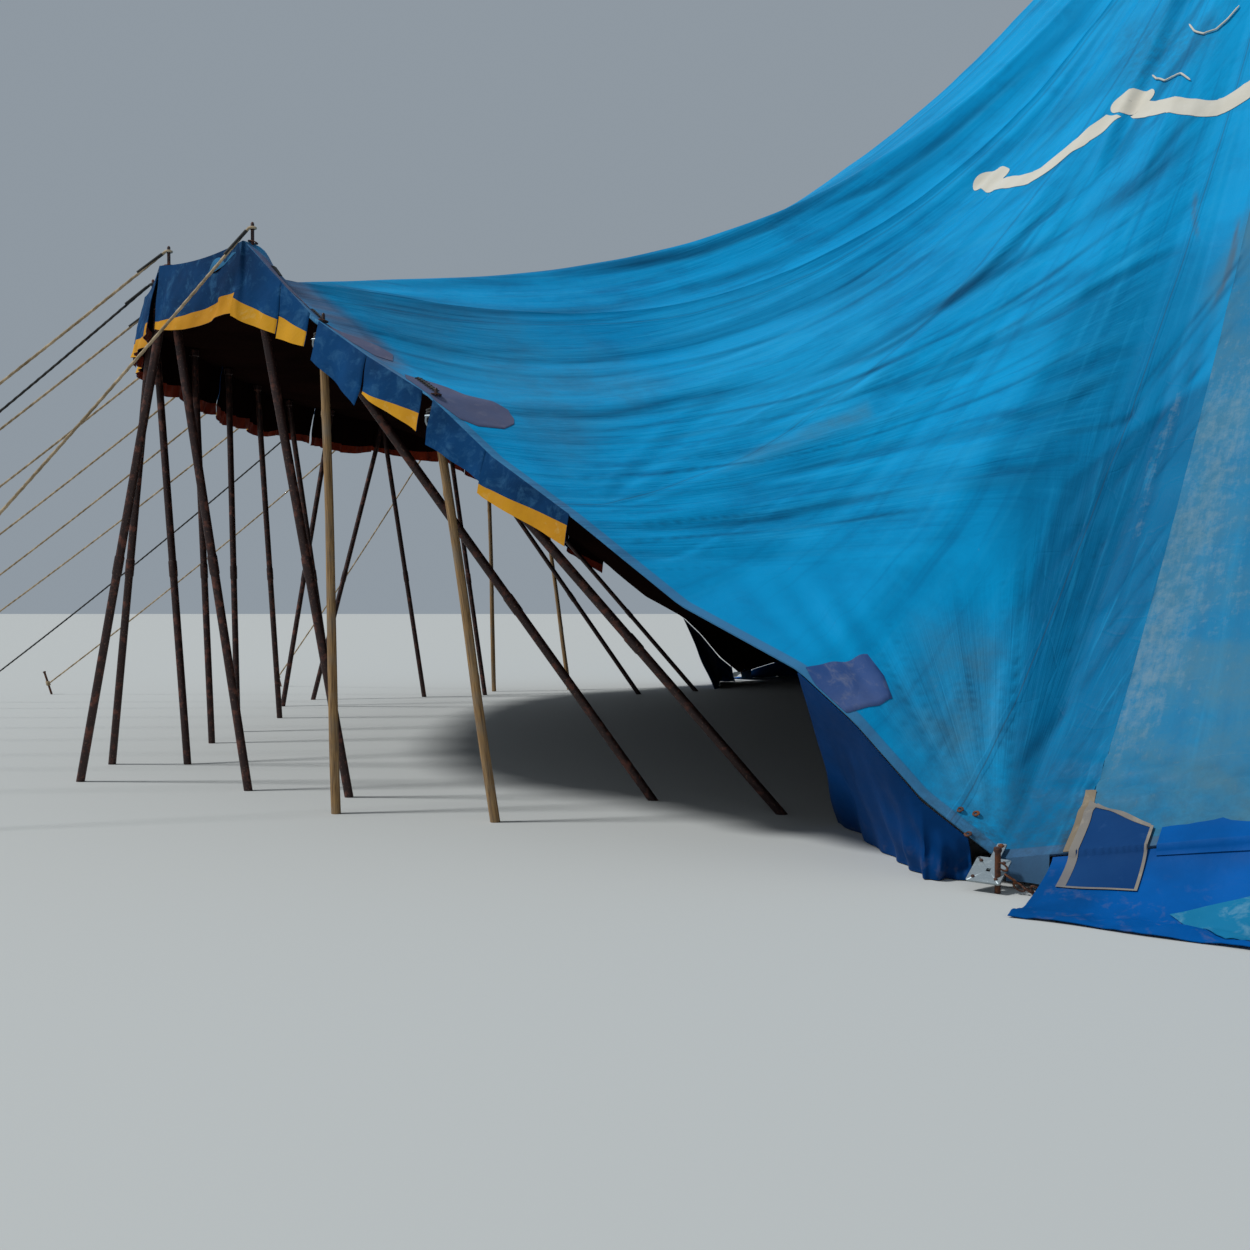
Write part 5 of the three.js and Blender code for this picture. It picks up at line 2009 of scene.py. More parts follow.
@dataclass
class Valances:
    """The stepped flaps round the entrance, blue with a yellow border and dark inside."""

    finishes: Finishes
    drop: float = 0.55
    flare: float = 0.12
    thick: float = 0.004
    front: tuple = (
        Flap(0.0, 0.30, (0.56, 0.54), (0.13, 0.12)), Flap(0.30, 0.55, (0.50, 0.48), (0.05, 0.10)),
        Flap(0.55, 0.80, (0.53, 0.50), (0.12, 0.09)), Flap(0.80, 1.0, (0.47, 0.55), (0.05, 0.16)))
    edges: tuple = (
        Flap(0.0, 0.068, (0.54, 0.36), (0.13, 0.10)),
        Flap(0.068, 0.116, (0.40, 0.23), (0.16, 0.10)), Flap(0.131, 0.21, (0.26, 0.34)),
        Flap(0.21, 0.297, (0.25, 0.27), (0.015, 0.12)), Flap(0.313, 0.392, (0.30, 0.20)),
        Flap(0.392, 0.508, (0.27, 0.20), (0.06, 0.13)))

    def flap_grid(self, start: float, end: float, flap: Flap, seed: int) -> tuple[Array, Array]:
        """One flap: down from the hem, flared, with soft folds that grow towards its edge.

        Args:
            start: Where it starts along the hem.
            end: Where it ends.
            flap: Its drops and borders.
            seed: Seed of its folds.

        Returns:
            The face grid and the back grid.
        """
        count = max(13, int(abs(end - start) / 0.022))
        share = np.linspace(0, 1, count)[:, None]
        g = start + (end - start) * share
        drop = flap.drops[0] + (flap.drops[1] - flap.drops[0]) * share
        border = flap.borders[0] + (flap.borders[1] - flap.borders[0]) * share
        t = np.concatenate([np.linspace(0, 1, 15)[:-1], np.linspace(1, 2, 6)])[None]
        blue = drop - border
        fall = np.where(t < 1, blue * t, blue + np.maximum(border, 0.002) * (t - 1)) / drop
        away = FORM.outward(g)
        hem = FORM.hem(g)
        wave = ripples(hem * (1, 1, 0) + seed, 0.46, 41) + 0.7 * ripples(hem, 0.2, 43) \
            + 0.4 * ripples(hem * (1, 1, 0) + UP * fall[..., None] * drop[..., None], 0.16, 44)
        size = drop / self.drop
        out = 0.006 + self.flare * 0.8 * size * fall + 0.034 * wave * fall ** 0.8 * size
        out = np.clip(out, 0.004, self.flare * size + 0.02)
        low = drop * fall * (1 + 0.04 * ripples(hem, 0.7, 45 + seed) - 0.04)
        face = hem + away * out[..., None] - UP * low[..., None]
        return face, face - away * self.thick

    def build_one(self, name: str, stops: Sequence[tuple[float, float, Flap]]) -> None:
        """One valance node as a row of flaps.

        Args:
            name: The CAD node.
            stops: Where each flap starts and ends along the hem, and the flap.
        """
        parts, total = Parts(), 0.0
        for k, (a, b, flap) in enumerate(stops):
            gap = 0.003 * math.copysign(1, b - a)
            face, back = self.flap_grid(a + gap, b - gap, flap, k)
            rows = face.shape[1]
            low = np.arange(rows - 1) >= (rows - 6 if max(flap.borders) > 0 else rows)
            cells = np.tile(low, len(face) - 1)
            parts.cloth(face, back, finishes=(np.where(cells, 1, 0), np.where(cells, 3, 2)))
            total += area_of(face)
        f = self.finishes
        piece = parts.build(f"{name}_flaps", [f.valance, f.yellow, f.lining, f.red],
                            "valance_cloth", [name], sharp=60)

    def build(self) -> None:
        """The front valance and the two that follow the sloping edges."""
        corner = FORM.at_head(5)
        front = [(side * flap.start * corner, side * flap.end * corner, flap)
                 for side in (1, -1) for flap in self.front]
        self.build_one("valance_front", front)
        for side, word in SIDES:
            self.build_one(f"valance_{word}", [
                (side * FORM.at_edge(flap.start), side * FORM.at_edge(flap.end), flap)
                for flap in self.edges])


@dataclass
class SideCurtains:
    """The curtain under the low end of each sloping edge, gathered and blown inwards."""

    finishes: Finishes
    first: float = 0.789
    last: float = 0.97
    feet: tuple = ((-6.62, 5.85), (-6.52, 6.75), (-6.45, 7.55), (-6.2, 7.56))
    shares: tuple = (0.789, 0.852, 0.923, 0.97)
    thick: float = 0.004

    def build(self) -> None:
        """Both curtains: straight lines from hem to ground, thrown into folds that deepen
        towards the ground."""
        for side, word in SIDES:
            share = np.linspace(self.first, self.last, 121)
            g = side * FORM.at_edge(share)
            top = FORM.hem(g) - UP * 0.021
            foot = np.stack([np.interp(share, self.shares, [p[0] for p in self.feet]),
                             -side * np.interp(share, self.shares, [p[1] for p in self.feet]),
                             np.full(len(share), 0.004)], -1)
            t = np.linspace(0, 1, 61)[None, :, None]
            grid = top[:, None] + (foot - top)[:, None] * t
            along = np.linspace(0, 1, len(share))[:, None]
            bend = along + 0.05 * np.sin(5.1 * along + 2 * t[..., 0])
            wave = np.sin(2 * np.pi * (4.2 * bend + 0.35 * t[..., 0]) + side) \
                * (0.55 + 0.45 * np.sin(7.3 * along + 1)) \
                + 0.5 * np.sin(2 * np.pi * (8.7 * bend - 0.3 * t[..., 0])) \
                + 0.35 * np.sin(2 * np.pi * (2.1 * t[..., 0] - 1.3 * along))
            way = normals(grid)
            way[..., 2] = 0
            grid = grid + way * (wave * 0.028 * soft_step(t[..., 0], 0.02, 0.9))[..., None]
            grid[..., 2] = np.maximum(grid[..., 2], 0.003)
            parts = Parts()
            parts.cloth(grid, grid + normals(grid) * self.thick)
            piece = parts.build(f"side_curtain_{word}_cloth", [self.finishes.curtain],
                                "royal_cloth", [f"side_curtain_{word}"], sharp=80)


@dataclass
class GroundSkirts:
    """The ground cloth of each closed bay: down from the hem, then out over the ground."""

    finishes: Finishes
    clear: float = 0.038
    fold: float = 0.38
    spread: float = 0.62
    thick: float = 0.004

    def surface(self, g: Array, t: Array) -> Array:
        """A skirt's face: t goes from the hem to the ground at 0.6 and on to the free edge;
        pleats deepen towards the ground, and the spread part lies in low waves.

        Args:
            g: Distances along the hem.
            t: Shares of the way down and out.

        Returns:
            Points, in the shape of g and t together.
        """
        g, t = np.broadcast_arrays(g, t)
        hem = FORM.hem(g)
        away = FORM.outward(g)
        down = np.clip(t / 0.6, 0, 1)
        flat = np.clip((t - 0.6) / 0.4, 0, 1)
        wave = ripples(hem * (1, 1, 0), 0.5, 61) + 0.5 * ripples(hem * (1, 1, 0), 0.23, 63)
        out = self.fold * down ** 1.35 + (self.spread - self.fold) * flat
        edge = 0.05 * ripples(hem * (1, 1, 0), 0.8, 65) * flat
        out = out + wave * 0.026 * np.sin(np.pi * np.clip(t, 0, 1)) + edge * 0.6 - 0.03 * flat
        top = hem[..., 2] - 0.021
        high = top * (1 - down ** 0.9) + 0.006
        rise = np.abs(ripples(hem + away * out[..., None] * 1.4, 0.34, 67)) * 0.034 \
            + np.abs(ripples(hem + away * out[..., None], 0.17, 69)) * 0.012
        high = high + rise * soft_step(t, 0.45, 0.7) * (1 - 0.6 * soft_step(t, 0.9, 1.0))
        points = hem + away * np.clip(out, 0, self.spread + 0.01)[..., None]
        points[..., 2] = np.maximum(high, 0.004)
        return points

    def build(self) -> None:
        """Six skirts."""
        f = self.finishes
        for number, (bay, side) in enumerate(BAYS, start=1):
            g = side * np.linspace(FORM.at_bay(bay + self.clear),
                                   FORM.at_bay(bay + 1 - self.clear), 181)[:, None]
            t = np.linspace(0, 1, 25)[None]
            face = self.surface(g, t)
            parts = Parts()
            back = face - normals(face) * self.thick * np.sign(normals(face)[..., 2:])
            back[..., 2] = np.maximum(back[..., 2], 0.0005)
            parts.cloth(face, back)
            piece = parts.build(f"ground_skirt_{number}_cloth", [f.royal], "royal_cloth",
                                [f"ground_skirt_{number}"], sharp=80)


# poles


@dataclass
class EntrancePoles:
    """The steel poles under the lip, each with a head collar and a spike."""

    finishes: Finishes
    radius: float = 0.032
    head_radius: float = 0.042
    head_depth: float = 0.07
    under: float = 0.012
    corner_under: float = 0.05
    spike: float = 0.012
    above: float = 0.15
    shell: float = 0.02
    feet: tuple = (
        ((-12.1, 0.24),), ((-12.05, 1.3),), ((-11.77, 2.9),), ((-12.42, 2.9),),
        ((-12.27, 3.95), (-10.82, 4.43)), ((-10.0, 4.75),))

    def spike_head(self, parts: Parts, head: Array, top: float, depth: float) -> None:
        """A turned collar and a spike with an eased tip, through the membrane.

        Args:
            parts: Where it is added.
            head: Where the spike comes through the membrane.
            top: The height of the collar's top.
            depth: How deep the collar is.
        """
        r, s = self.head_radius, self.spike
        parts.turned([(r * 0.86, -depth), (r, -depth + 0.006), (r, -0.006), (r * 0.86, 0.0)],
                     (head[0], head[1], top), 24)
        length = head[2] + self.above - top
        parts.turned([(s, -0.002), (s, length - 0.012), (s * 0.7, length - 0.004),
                      (s * 0.3, length)], (head[0], head[1], top), 14)
        for low in (-depth + 0.012, -0.016):
            parts.turned([(r + 0.003, low - 0.003), (r + 0.004, low), (r + 0.003, low + 0.003),
                          (r - 0.002, low)], (head[0], head[1], top), 24, join=True)

    def leg(self, parts: Parts, top: Array, foot: Sequence[float], radius: float) -> None:
        """A tube from the head to the ground, cut level at its foot, with a sleeve joint.

        Args:
            parts: Where it is added.
            top: Its upper end.
            foot: The x and y of its foot.
            radius: Its radius.
        """
        end = np.array([foot[0], foot[1], 0.0])
        t = np.concatenate([[0, 0.02], np.linspace(0.05, 0.95, 13), [1.0]])[:, None]
        path = top + (end - top) * t
        parts.tube(path, radius, 20, AHEAD, level_foot=True)
        joint = np.array([0.54, 0.543, 0.575, 0.578])[:, None]
        parts.tube(top + (end - top) * joint,
                   np.array([radius + 0.001, radius + 0.0045, radius + 0.0045, radius + 0.001]),
                   20, AHEAD)

    def build(self) -> None:
        """Eleven poles."""
        for k, feet in enumerate(self.feet):
            for side, word in SIDES:
                if k == 0 and side < 0:
                    continue
                head = FORM.head(side * FORM.at_head(k))
                top = head[2] - self.shell - (self.corner_under if k == 5 else self.under)
                parts = Parts()
                self.spike_head(parts, head, top, self.head_depth)
                joint = np.array([head[0], head[1], top - self.head_depth * 0.6])
                for x, y in feet:
                    self.leg(parts, joint, (x, -side * y), self.radius)
                name = "lip_pole_middle" if k == 0 else f"lip_pole_{word}_{k}"
                parts.build(f"{name}_steel", [self.finishes.pole], "dark_steel", [name])


@dataclass
class SideProps(EntrancePoles):
    """The timber props under the sloping edge, each with a steel stay lashed to its top."""

    wood: float = 0.031
    steel: float = 0.032
    depth: float = 0.09
    above: float = 0.05
    prop_under: float = 0.05
    places: tuple = (
        (0.123, (-9.94, 5.47), (-7.8, 4.9)), (0.304, (-8.84, 5.8), (-6.95, 5.5)))

    def timber(self, parts: Parts, top: Array, foot: Sequence[float]) -> None:
        """A peeled pole: a little crooked, thicker at the butt, with knots.

        Args:
            parts: Where it is added.
            top: Its upper end.
            foot: The x and y of its foot.
        """
        end = np.array([foot[0], foot[1], 0.0])
        t = np.linspace(0, 1, 90)[:, None]
        bend = np.column_stack([np.sin(3.1 * t[:, 0] + 1), np.sin(4.3 * t[:, 0]), 0 * t[:, 0]])
        path = top + (end - top) * t + bend * 0.008 * np.sin(np.pi * t)
        turn = np.linspace(0, 2 * np.pi, 20, endpoint=False)
        rise = t * np.linalg.norm(end - top)
        lobes = 1 + 0.03 * np.sin(turn * 2 + rise * 2.0) + 0.02 * np.sin(turn * 3 - rise * 5)
        for height, angle in ((0.5, 1.0), (1.1, 3.6), (1.7, 5.2), (2.2, 2.2)):
            gap = (turn - angle + np.pi) % (2 * np.pi) - np.pi
            lobes = lobes + 0.22 * np.exp(-((rise - height) / 0.022) ** 2 - (gap / 0.45) ** 2)
        radii = self.wood * (0.94 + 0.08 * t[:, 0])
        parts.tube(path, radii, 20, AHEAD, 1, level_foot=True, lobes=lobes)

    def lashing(self, parts: Parts, head: Array, low: float, high: float, turns: int,
                radius: float, finish: int) -> None:
        """A rope wound round the heads of prop and stay.

        Args:
            parts: Where it is added.
            head: The head's middle.
            low: Where it starts.
            high: Where it ends.
            turns: How many turns.
            radius: How far the rope winds from the middle.
            finish: The index of its material.
        """
        t = np.linspace(0, 1, turns * 18)
        angle = 2 * np.pi * turns * t
        wide = radius + 0.006 * np.cos(2 * angle)
        path = np.stack([head[0] + wide * np.cos(angle), head[1] + wide * np.sin(angle),
                         low + (high - low) * t], -1)
        parts.tube(path, 0.0075, 8, UP, finish)

    def shackle(self, parts: Parts, head: Array, top: float, side: int) -> None:
        """A bow shackle on the outside of the head: a bent bar with its pin.

        Args:
            parts: Where it is added.
            head: Where the spike comes through the membrane.
            top: The height of the collar's top.
            side: 1 for right and -1 for left.
        """
        away = np.array([-0.35, -side * 0.94, 0.0])
        beside = np.cross(UP, away)
        middle = head * (1, 1, 0) + UP * (top - 0.075) + away * 0.068
        a = np.linspace(-0.22 * np.pi, 1.22 * np.pi, 26)[:, None]
        bow = middle - UP * 0.016 + beside * 0.034 * np.cos(a) - UP * 0.042 * np.sin(a)
        parts.tube(bow, 0.009, 10, away, 3)
        parts.tube(np.array([middle + UP * 0.010 + beside * x for x in (-0.042, 0.0, 0.044)]),
                   np.array([0.008, 0.008, 0.008]), 10, away, 3)

    def build(self) -> None:
        """Four props."""
        f = self.finishes
        for number, (share, wood, steel) in enumerate(self.places, start=1):
            for side, word in SIDES:
                head = FORM.head(side * FORM.at_edge(share))
                top = head[2] - self.shell - self.prop_under
                joint = np.array([head[0], head[1], top - self.depth * 0.6])
                parts = Parts()
                self.spike_head(parts, head, top, self.depth)
                self.timber(parts, joint, (wood[0], -side * wood[1]))
                self.leg(parts, joint, (steel[0], -side * steel[1]), self.steel)
                low = top - self.depth
                self.lashing(parts, head, low - 0.11, low - 0.05, 4, 0.050, 2)
                self.lashing(parts, head, low - 0.03, top - 0.015, 6, 0.053, 4)
                self.shackle(parts, head, top, side)
                name = f"side_prop_{word}_{number}"
                parts.build(f"{name}_lashed", [f.pole, f.timber, f.hemp, f.zinc, f.tarred],
                            "tan_wood", [name])


@dataclass
class GuyRopes:
    """The taut guys from the spikes to their stakes."""

    finishes: Finishes
    radius: float = 0.011
    lay: float = 0.078
    eye_radius: float = 0.03
    eye_above: float = 0.108
    grip: float = 0.007
    spike: float = 0.0125
    stake_radius: float = 0.015
    stake_top: float = 0.33
    tie: float = 0.15
    lean: float = 0.06
    sag: float = 0.012
    stakes: tuple = (
        (-17.4, 0.0), (-17.4, 1.25), (-17.4, 2.5), (-16.7, 3.5), (-16.3, 4.9), (-13.4, 6.5))

    def rope(self, parts: Parts, start: Array, end: Array, step: float) -> None:
        """A three-strand rope: a round section with three lobes that turn once every lay, on
        a line that sags by a share of its length.

        Args:
            parts: Where it is added.
            start: Its upper end.
            end: Its lower end.
            step: Metres between its sections.
        """
        length = float(np.linalg.norm(end - start))
        t = np.linspace(0, 1, int(length / step))
        path = start + (end - start) * t[:, None]
        path[:, 2] -= self.sag * length * 4 * t * (1 - t)
        turn = np.linspace(0, 2 * np.pi, 9, endpoint=False)
        twist = 2 * np.pi * (t * length / self.lay)[:, None]
        lobes = 1 + 0.10 * np.cos(3 * (turn + twist / 3))
        parts.tube(path, self.radius * 0.92, 9, UP, 0, lobes=lobes)

    def build(self) -> None:
        """Eleven guys with their eyes, whippings and stakes."""
        f = self.finishes
        for k, stake in enumerate(self.stakes):
            for side, word in SIDES:
                if k == 0 and side < 0:
                    continue
                head = FORM.head(side * FORM.at_head(k))
                eye = head + UP * self.eye_above
                tie = np.array([stake[0], -side * stake[1], self.tie])
                away = (tie - eye) * (1, 1, 0)
                away /= np.linalg.norm(away)
                start = eye + away * (self.eye_radius - self.grip)
                parts = Parts()
                self.rope(parts, start, tie, 0.016)
                turn = np.linspace(0, 2 * np.pi, 28, endpoint=False)[:, None, None]
                small = np.linspace(0, 2 * np.pi, 10, endpoint=False)[None, :, None]
                spoke = np.array(AHEAD) * np.cos(turn) + np.array([0, 1.0, 0]) * np.sin(turn)
                ring = eye + spoke * (0.0215 + 0.0088 * np.cos(small)) \
                    + UP * 0.009 * np.sin(small)
                parts.loft(ring, 0, join=True)
                way = (tie - start) / np.linalg.norm(tie - start)
                whip = np.linspace(0.03, 0.26, 48)[:, None]
                parts.tube(start + way * whip, 0.0125 + 0.0012 * np.sin(whip[:, 0] * 600), 12,
                           UP, 1)
                top = tie + away * self.lean
                top[2] = self.stake_top
                slant = (top - tie) / (top[2] - tie[2])
                foot = tie - slant * tie[2]
                t = np.array([1.0, 0.99, 0.95, 0.93, 0.5, 0.0])[:, None]
                parts.tube(foot + (top - foot) * t,
                           self.stake_radius * np.array([1.0, 1.35, 1.4, 1.0, 1.0, 1.0]), 14,
                           AHEAD, 2, level_foot=True)
                t = np.linspace(0, 1, 56)
                coil = 2 * np.pi * 4 * t[:, None]
                cross = np.cross(UP, away)
                wind = foot + (top - foot) * (0.40 + 0.16 * t[:, None]) \
                    + (away * np.cos(coil) + cross * np.sin(coil)) * 0.022
                parts.tube(wind, self.radius * 0.85, 8, UP, 0)
                name = "guy_middle" if k == 0 else f"guy_{word}_{k}"
                rope = f.tarred if k == 3 else f.hemp
                parts.build(f"{name}_rope", [rope, f.tarred, f.rust], "hemp_rope", [name])


# mast and steel


def rounded(width: float, length: float, radius: float) -> Array:
    """A rounded rectangle's outline: four quarter circles joined by straight sides.

    Args:
        width: Its size along x.
        length: Its size along y.
        radius: The radius of its corners.

    Returns:
        Points (x, y) round it.
    """
    turn = np.linspace(0, np.pi / 2, 6)
    quarters = []
    for k, (sx, sy) in enumerate(((1, 1), (-1, 1), (-1, -1), (1, -1))):
        middle = np.array([sx * (width / 2 - radius), sy * (length / 2 - radius)])
        angle = turn + k * np.pi / 2
        quarters.append(middle + radius * np.stack([np.cos(angle), np.sin(angle)], -1))
    return np.vstack(quarters)


@dataclass
class Mast:
    """The king pole with its bolted foot, the crown ring and the rain cap."""

    finishes: Finishes
    radius: float = 0.1
    top: float = 13.0
    plate: float = 0.6
    plate_depth: float = 0.025
    ring_inner: float = 0.262
    ring_outer: float = 0.2991
    ring_low: float = 12.44
    ring_high: float = 12.53
    hub: float = 0.132
    cap_rim: float = 0.43
    cap_low: float = 12.345
    cap_top: float = 12.885

    def king_pole(self) -> None:
        """The tube with flanged joints, gussets, a welded foot plate and its bolts."""
        parts = Parts()
        parts.slab(rounded(self.plate, self.plate, 0.03), 0.0, self.plate_depth, lambda p: p)
        r, low = self.radius, self.plate_depth
        parts.turned([(r, low - 0.002), (r, 4.2), (r, 4.3), (r, 8.4), (r, self.top - 0.006),
                      (r - 0.006, self.top)], (0, 0, 0), 48)
        for z in (low + 0.004, 4.25, 8.35):
            parts.turned([(r + 0.001, z - 0.012), (r + 0.007, z - 0.005), (r + 0.007, z + 0.005),
                          (r + 0.001, z + 0.012), (r - 0.004, z)], (0, 0, 0), 48, join=True)
        for z in (4.25, 8.35):
            for a in np.arange(8) * np.pi / 4:
                spot = (math.cos(a) * r, math.sin(a) * r, z + 0.05)
                way = np.array([math.cos(a), math.sin(a), 0.0])
                parts.turned([(0.012, 0.0), (0.012, 0.008), (0.008, 0.011)], spot, 6, way)
        for k in range(4):
            turn = k * np.pi / 2
            c, s = math.cos(turn), math.sin(turn)

            def stand(p: Array) -> Array:
                """Stands a flat plate up along a spoke of the foot."""
                out, high, aside = p[..., 0], p[..., 1], p[..., 2]
                return np.stack([out * c - aside * s, out * s + aside * c, high], -1)

            outline = np.array([(r - 0.004, low), (0.26, low), (0.26, low + 0.03),
                                (r + 0.02, low + 0.24), (r - 0.004, low + 0.24)])
            parts.slab(outline, -0.006, 0.006, stand, 0.0015)
        for k in range(8):
            a = (k + 0.5) * np.pi / 4
            spot = (0.235 * math.cos(a), 0.235 * math.sin(a), low)
            parts.turned([(0.024, -0.001), (0.024, 0.004), (0.022, 0.005)], spot, 20)
            parts.turned([(0.018, 0.004), (0.018, 0.020), (0.013, 0.023)], spot, 6)
            parts.turned([(0.009, 0.020), (0.009, 0.038), (0.006, 0.041)], spot, 12)
        parts.build("king_pole_tube", [self.finishes.mast], "galvanised_mast", ["king_pole"])

    def crown(self) -> None:
        """The ring as a rolled flat, its hub and spokes, and the lacing eyes under it."""
        parts = Parts()
        i, o, a, b, e = self.ring_inner, self.ring_outer, self.ring_low, self.ring_high, 0.004
        parts.turned([(i + e, a), (o - e, a), (o, a + e), (o, b - e), (o - e, b), (i + e, b),
                      (i, b - e), (i, a + e)], (0, 0, 0), 72, join=True)
        bore = self.radius + SEAT_GAP
        parts.turned([(bore, a), (self.hub - e, a), (self.hub, a + e), (self.hub, b - e),
                      (self.hub - e, b), (bore, b)], (0, 0, 0), 48, join=True)
        for k in range(4):
            turn = (k + 0.5) * np.pi / 2
            way = np.array([math.cos(turn), math.sin(turn), 0.0])
            middle = (a + b) / 2
            parts.tube(np.array([way * 0.125 + UP * middle, way * 0.2 + UP * middle,
                                 way * 0.27 + UP * middle]), 0.018, 16, UP)
        for k in range(24):
            turn = k * np.pi / 12
            spot = np.array([math.cos(turn) * 0.28, math.sin(turn) * 0.28, a - 0.016])
            t = np.linspace(0, 2 * np.pi, 14, endpoint=False)[:, None]
            way = np.array([math.cos(turn), math.sin(turn), 0.0])
            path = spot + (way * np.cos(t) + UP * np.sin(t)) * 0.018
            side = np.cross(way, UP)
            small = np.linspace(0, 2 * np.pi, 7, endpoint=False)[None, :, None]
            spoke = (way * np.cos(t) + UP * np.sin(t))[:, None]
            parts.loft(path[:, None] + (spoke * np.cos(small) + side * np.sin(small)) * 0.004,
                       0, join=True)
        parts.build("crown_ring_steel", [self.finishes.rust], "dark_steel", ["crown_ring"])

    def cap(self) -> None:
        """The rain cap: a cone of canvas in twelve gores with a soft, waved rim, bound to the
        mast by turns of cord."""
        a = np.linspace(0, 2 * np.pi, 145)[:, None]
        t = np.linspace(0, 1, 25)[None]
        gore = np.abs(np.sin(6 * a))
        neck = self.radius + 0.0045
        radius = neck + (self.cap_rim - neck) * t * (1 - 0.035 * (1 - gore) * t)
        high = self.cap_top - (self.cap_top - self.cap_low) * t ** 0.94
        high = high + 0.018 * (1 - gore) * t
        grid = np.stack([radius * np.cos(a), radius * np.sin(a), high + 0 * a], -1)
        grid[-1] = grid[0]
        rings, backs = np.swapaxes(grid[:-1], 0, 1), np.swapaxes(grid[:-1], 0, 1) - UP * 0.004
        parts = Parts()
        loop = np.concatenate([rings, backs[::-1]])
        parts.loft(loop, 0, join=True)
        wind = np.linspace(0, 1, 120)
        turn = 2 * np.pi * 6 * wind
        path = np.stack([(neck + 0.010) * np.cos(turn), (neck + 0.010) * np.sin(turn),
                         self.cap_top - 0.045 + 0.05 * wind], -1)
        cord = Parts()
        cord.tube(path, 0.0045, 8, UP)
        tie = cord.build("cap_binding_cord", [self.finishes.hemp], "hemp_rope")
        piece = parts.build("peak_cap_canvas", [self.finishes.valance], "blue_membrane",
                            ["peak_cap"], sharp=50)

    def build(self) -> None:
        """Mast, ring and cap."""
        self.king_pole()
        self.crown()
        self.cap()


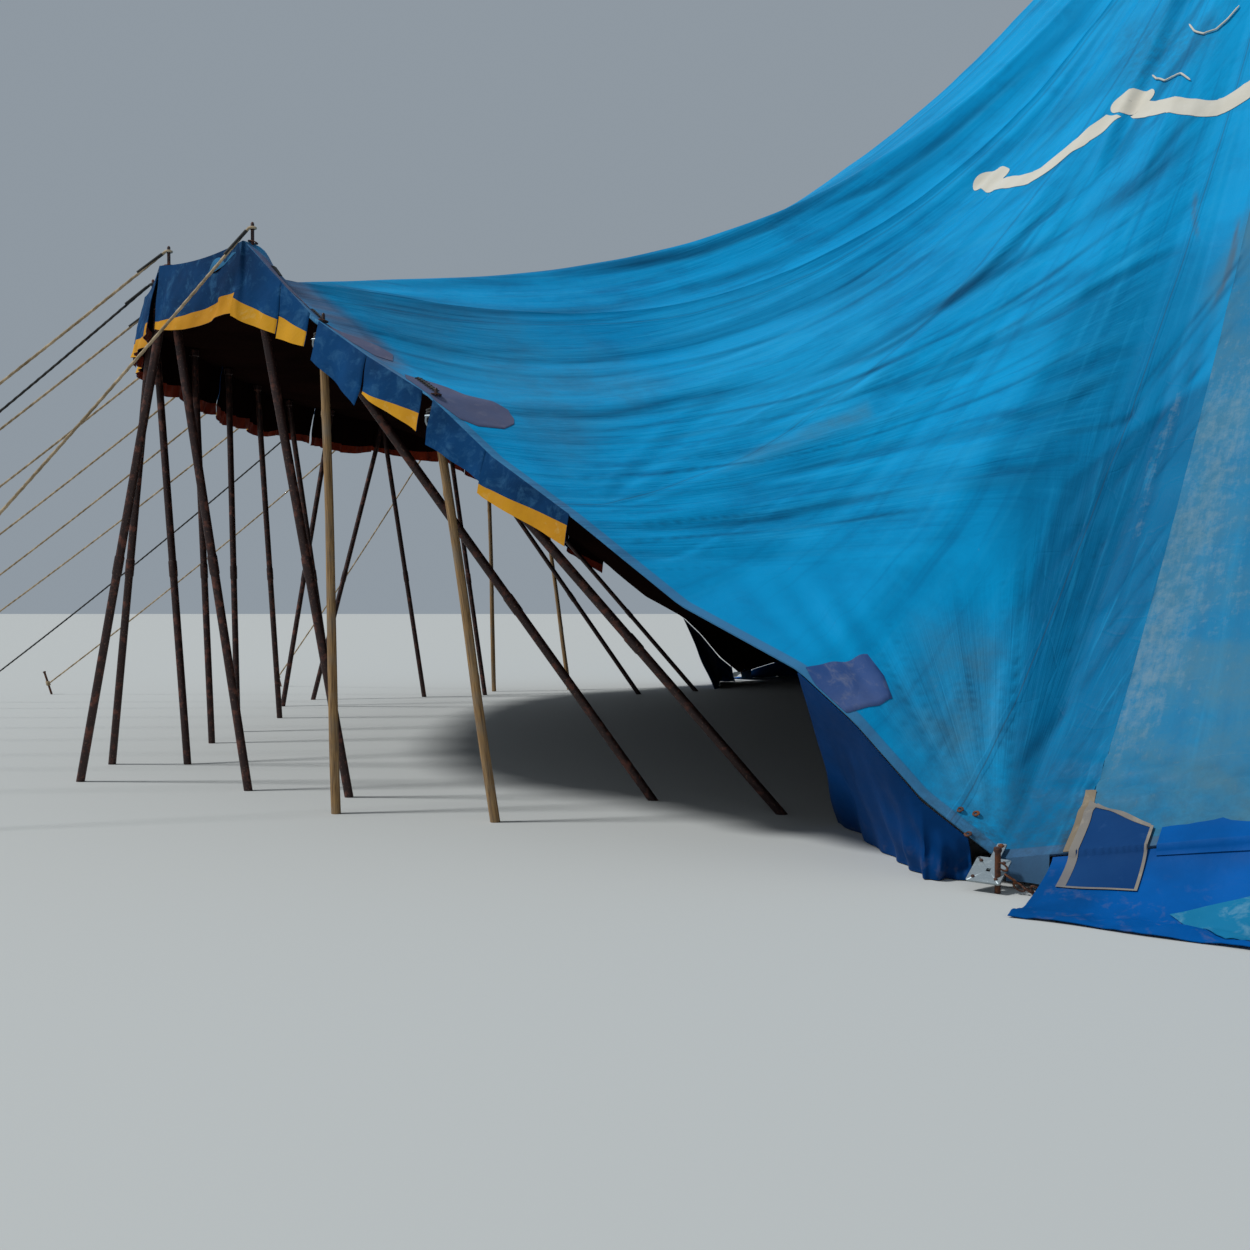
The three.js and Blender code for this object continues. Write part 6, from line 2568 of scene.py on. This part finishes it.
@dataclass
class CornerPlates:
    """The galvanised plates at the ground corners, with bolt, tab and stake."""

    finishes: Finishes
    width: float = 0.18
    depth: float = 0.012
    slope: float = 32.0
    out: float = 0.12
    lift: float = 0.034
    hole: float = 0.015
    tab_width: float = 0.05
    tab_length: float = 0.12
    tab_depth: float = 0.008
    bolt: float = 0.010
    inset: float = 0.035
    above: float = 0.014
    stake_out: float = 0.15
    stake_aside: float = 0.06
    stake_top: float = 0.23

    def build_one(self, number: int, corner: Array) -> None:
        """One plate.

        Args:
            number: Which ground corner it is, from the right round the back.
            corner: The corner of the hem.
        """
        turn = math.atan2(corner[1], corner[0])
        slope = math.radians(self.slope)
        high = corner[2] + self.lift
        way = np.array([math.cos(turn), math.sin(turn), 0.0])
        side = np.array([-math.sin(turn), math.cos(turn), 0.0])
        down = way * math.cos(slope) - UP * math.sin(slope)
        face = way * math.sin(slope) + UP * math.cos(slope)
        plan = np.array([corner[0], corner[1], 0.0])

        def at(out: float) -> Any:
            """A placing function for a plate whose middle is that far out."""
            middle = plan + way * out + UP * (high - out * math.tan(slope))
            return lambda p: (middle + down * p[..., :1] + side * p[..., 1:2]
                              + face * p[..., 2:])

        parts = Parts()
        parts.slab(rounded(self.width, self.width, 0.012), -self.depth / 2, self.depth / 2,
                   at(self.out), 0.0015, (0.0, 0.0, self.hole))
        tab_out = self.out - self.width * math.cos(slope) / 2 - self.tab_length / 2 + 0.015
        parts.slab(rounded(self.tab_length, self.tab_width, 0.008), -self.tab_depth / 2,
                   self.tab_depth / 2, at(tab_out), 0.001)
        for x, y in ((-0.06, -0.06), (-0.06, 0.06), (0.06, -0.06), (0.06, 0.06)):
            spot = at(self.out)(np.array([[x, y, self.depth / 2]]))[0]
            parts.turned([(0.010, -0.001), (0.010, 0.005), (0.006, 0.008)], spot, 6, face, 1)
        bolt = plan - way * self.inset
        top = high + self.inset * math.tan(slope) + self.above
        parts.turned([(self.bolt, corner[2] - 0.03), (self.bolt, top - 0.003),
                      (self.bolt * 0.8, top)], bolt, 16, UP, 1)
        parts.turned([(0.017, top - 0.018), (0.017, top - 0.006), (0.014, top - 0.004)], bolt, 6,
                     UP, 1)
        stake = plan + way * self.stake_out + side * self.stake_aside
        parts.turned([(0.015, 0.0), (0.015, self.stake_top - 0.03),
                      (0.021, self.stake_top - 0.02), (0.019, self.stake_top - 0.003),
                      (0.012, self.stake_top)], stake, 16, UP, 1)
        start, end = stake + side * 0.022 + UP * 0.135, plan + way * 0.07 + side * 0.27
        for k in range(6):
            middle = start + (end + UP * 0.012 - start) * (k / 5)
            middle[2] = max(middle[2] - 0.05 * math.sin(k * 0.63), 0.026)
            along = (end - start) / np.linalg.norm(end - start)
            across = np.cross(along, UP) if k % 2 else np.cross(np.cross(along, UP), along)
            a = np.linspace(0, 2 * np.pi, 20, endpoint=False)[:, None]
            oval = middle + along * 0.030 * np.cos(a) + across * 0.017 * np.sin(a)
            spoke = along * np.cos(a) + across * np.sin(a)
            small = np.linspace(0, 2 * np.pi, 7, endpoint=False)[None, :, None]
            other = np.cross(along, across)
            parts.loft(oval[:, None] + (spoke[:, None] * np.cos(small) + other * np.sin(small))
                       * 0.006, 1, join=True)
        name = f"corner_plate_{number}"
        parts.build(f"{name}_steel", [self.finishes.zinc, self.finishes.rust],
                    "galvanised_plate", [name])

    def build(self) -> None:
        """Seven plates."""
        for number, (bay, side) in enumerate(CORNERS, start=1):
            self.build_one(number, FORM.hem(side * FORM.at_bay(bay)))


# surroundings


@dataclass
class Studio:
    """A plain pale floor and soft light."""

    half: float = 70.0
    floor_colour: str = "#c6c5c0"
    sky_colour: str = "#d3e1ee"
    sun_colour: tuple = (0.93, 0.97, 1.0)
    sky: float = 0.42
    sun: float = 2.4

    def build(self) -> None:
        """Makes floor, sky and lights."""
        mesh = bpy.data.meshes.new("studio_floor")
        h = self.half
        mesh.from_pydata([(-h, -h, -0.001), (h, -h, -0.001), (h, h, -0.001), (-h, h, -0.001)],
                         [], [(0, 1, 2, 3)])
        floor = bpy.data.objects.new("studio_floor", mesh)
        bpy.context.scene.collection.objects.link(floor)
        s = Shader("pale_studio_floor")
        s.feed(s.surface, {"Base Color": linear(self.floor_colour), "Roughness": 0.9})
        mesh.materials.append(s.material)
        world = bpy.data.worlds.new("soft_sky")
        bpy.context.scene.world = world
        world.use_nodes = True
        back = world.node_tree.nodes["Background"]
        back.inputs[0].default_value = linear(self.sky_colour)
        back.inputs[1].default_value = self.sky
        bpy.context.scene.view_settings.view_transform = "Standard"
        lamp = bpy.data.lights.new("soft_sun", "SUN")
        lamp.energy = self.sun
        lamp.angle = math.radians(8)
        lamp.color = self.sun_colour
        holder = bpy.data.objects.new("soft_sun", lamp)
        holder.rotation_euler = (math.radians(37), 0.0, math.radians(-82))
        bpy.context.scene.collection.objects.link(holder)


def main() -> None:
    """Builds the tent's pieces in order, with the camera and studio first."""
    logging.basicConfig(level=logging.INFO, format="%(name)s: %(message)s")
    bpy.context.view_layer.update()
    PHOTO.camera()
    Studio().build()
    finishes = Finishes()
    for maker in (Roof, SewnWork, Valances, SideCurtains, GroundSkirts, EntrancePoles, SideProps,
                  GuyRopes, Mast, CornerPlates):
        maker(finishes).build()


if __name__ == "__main__":
    main()
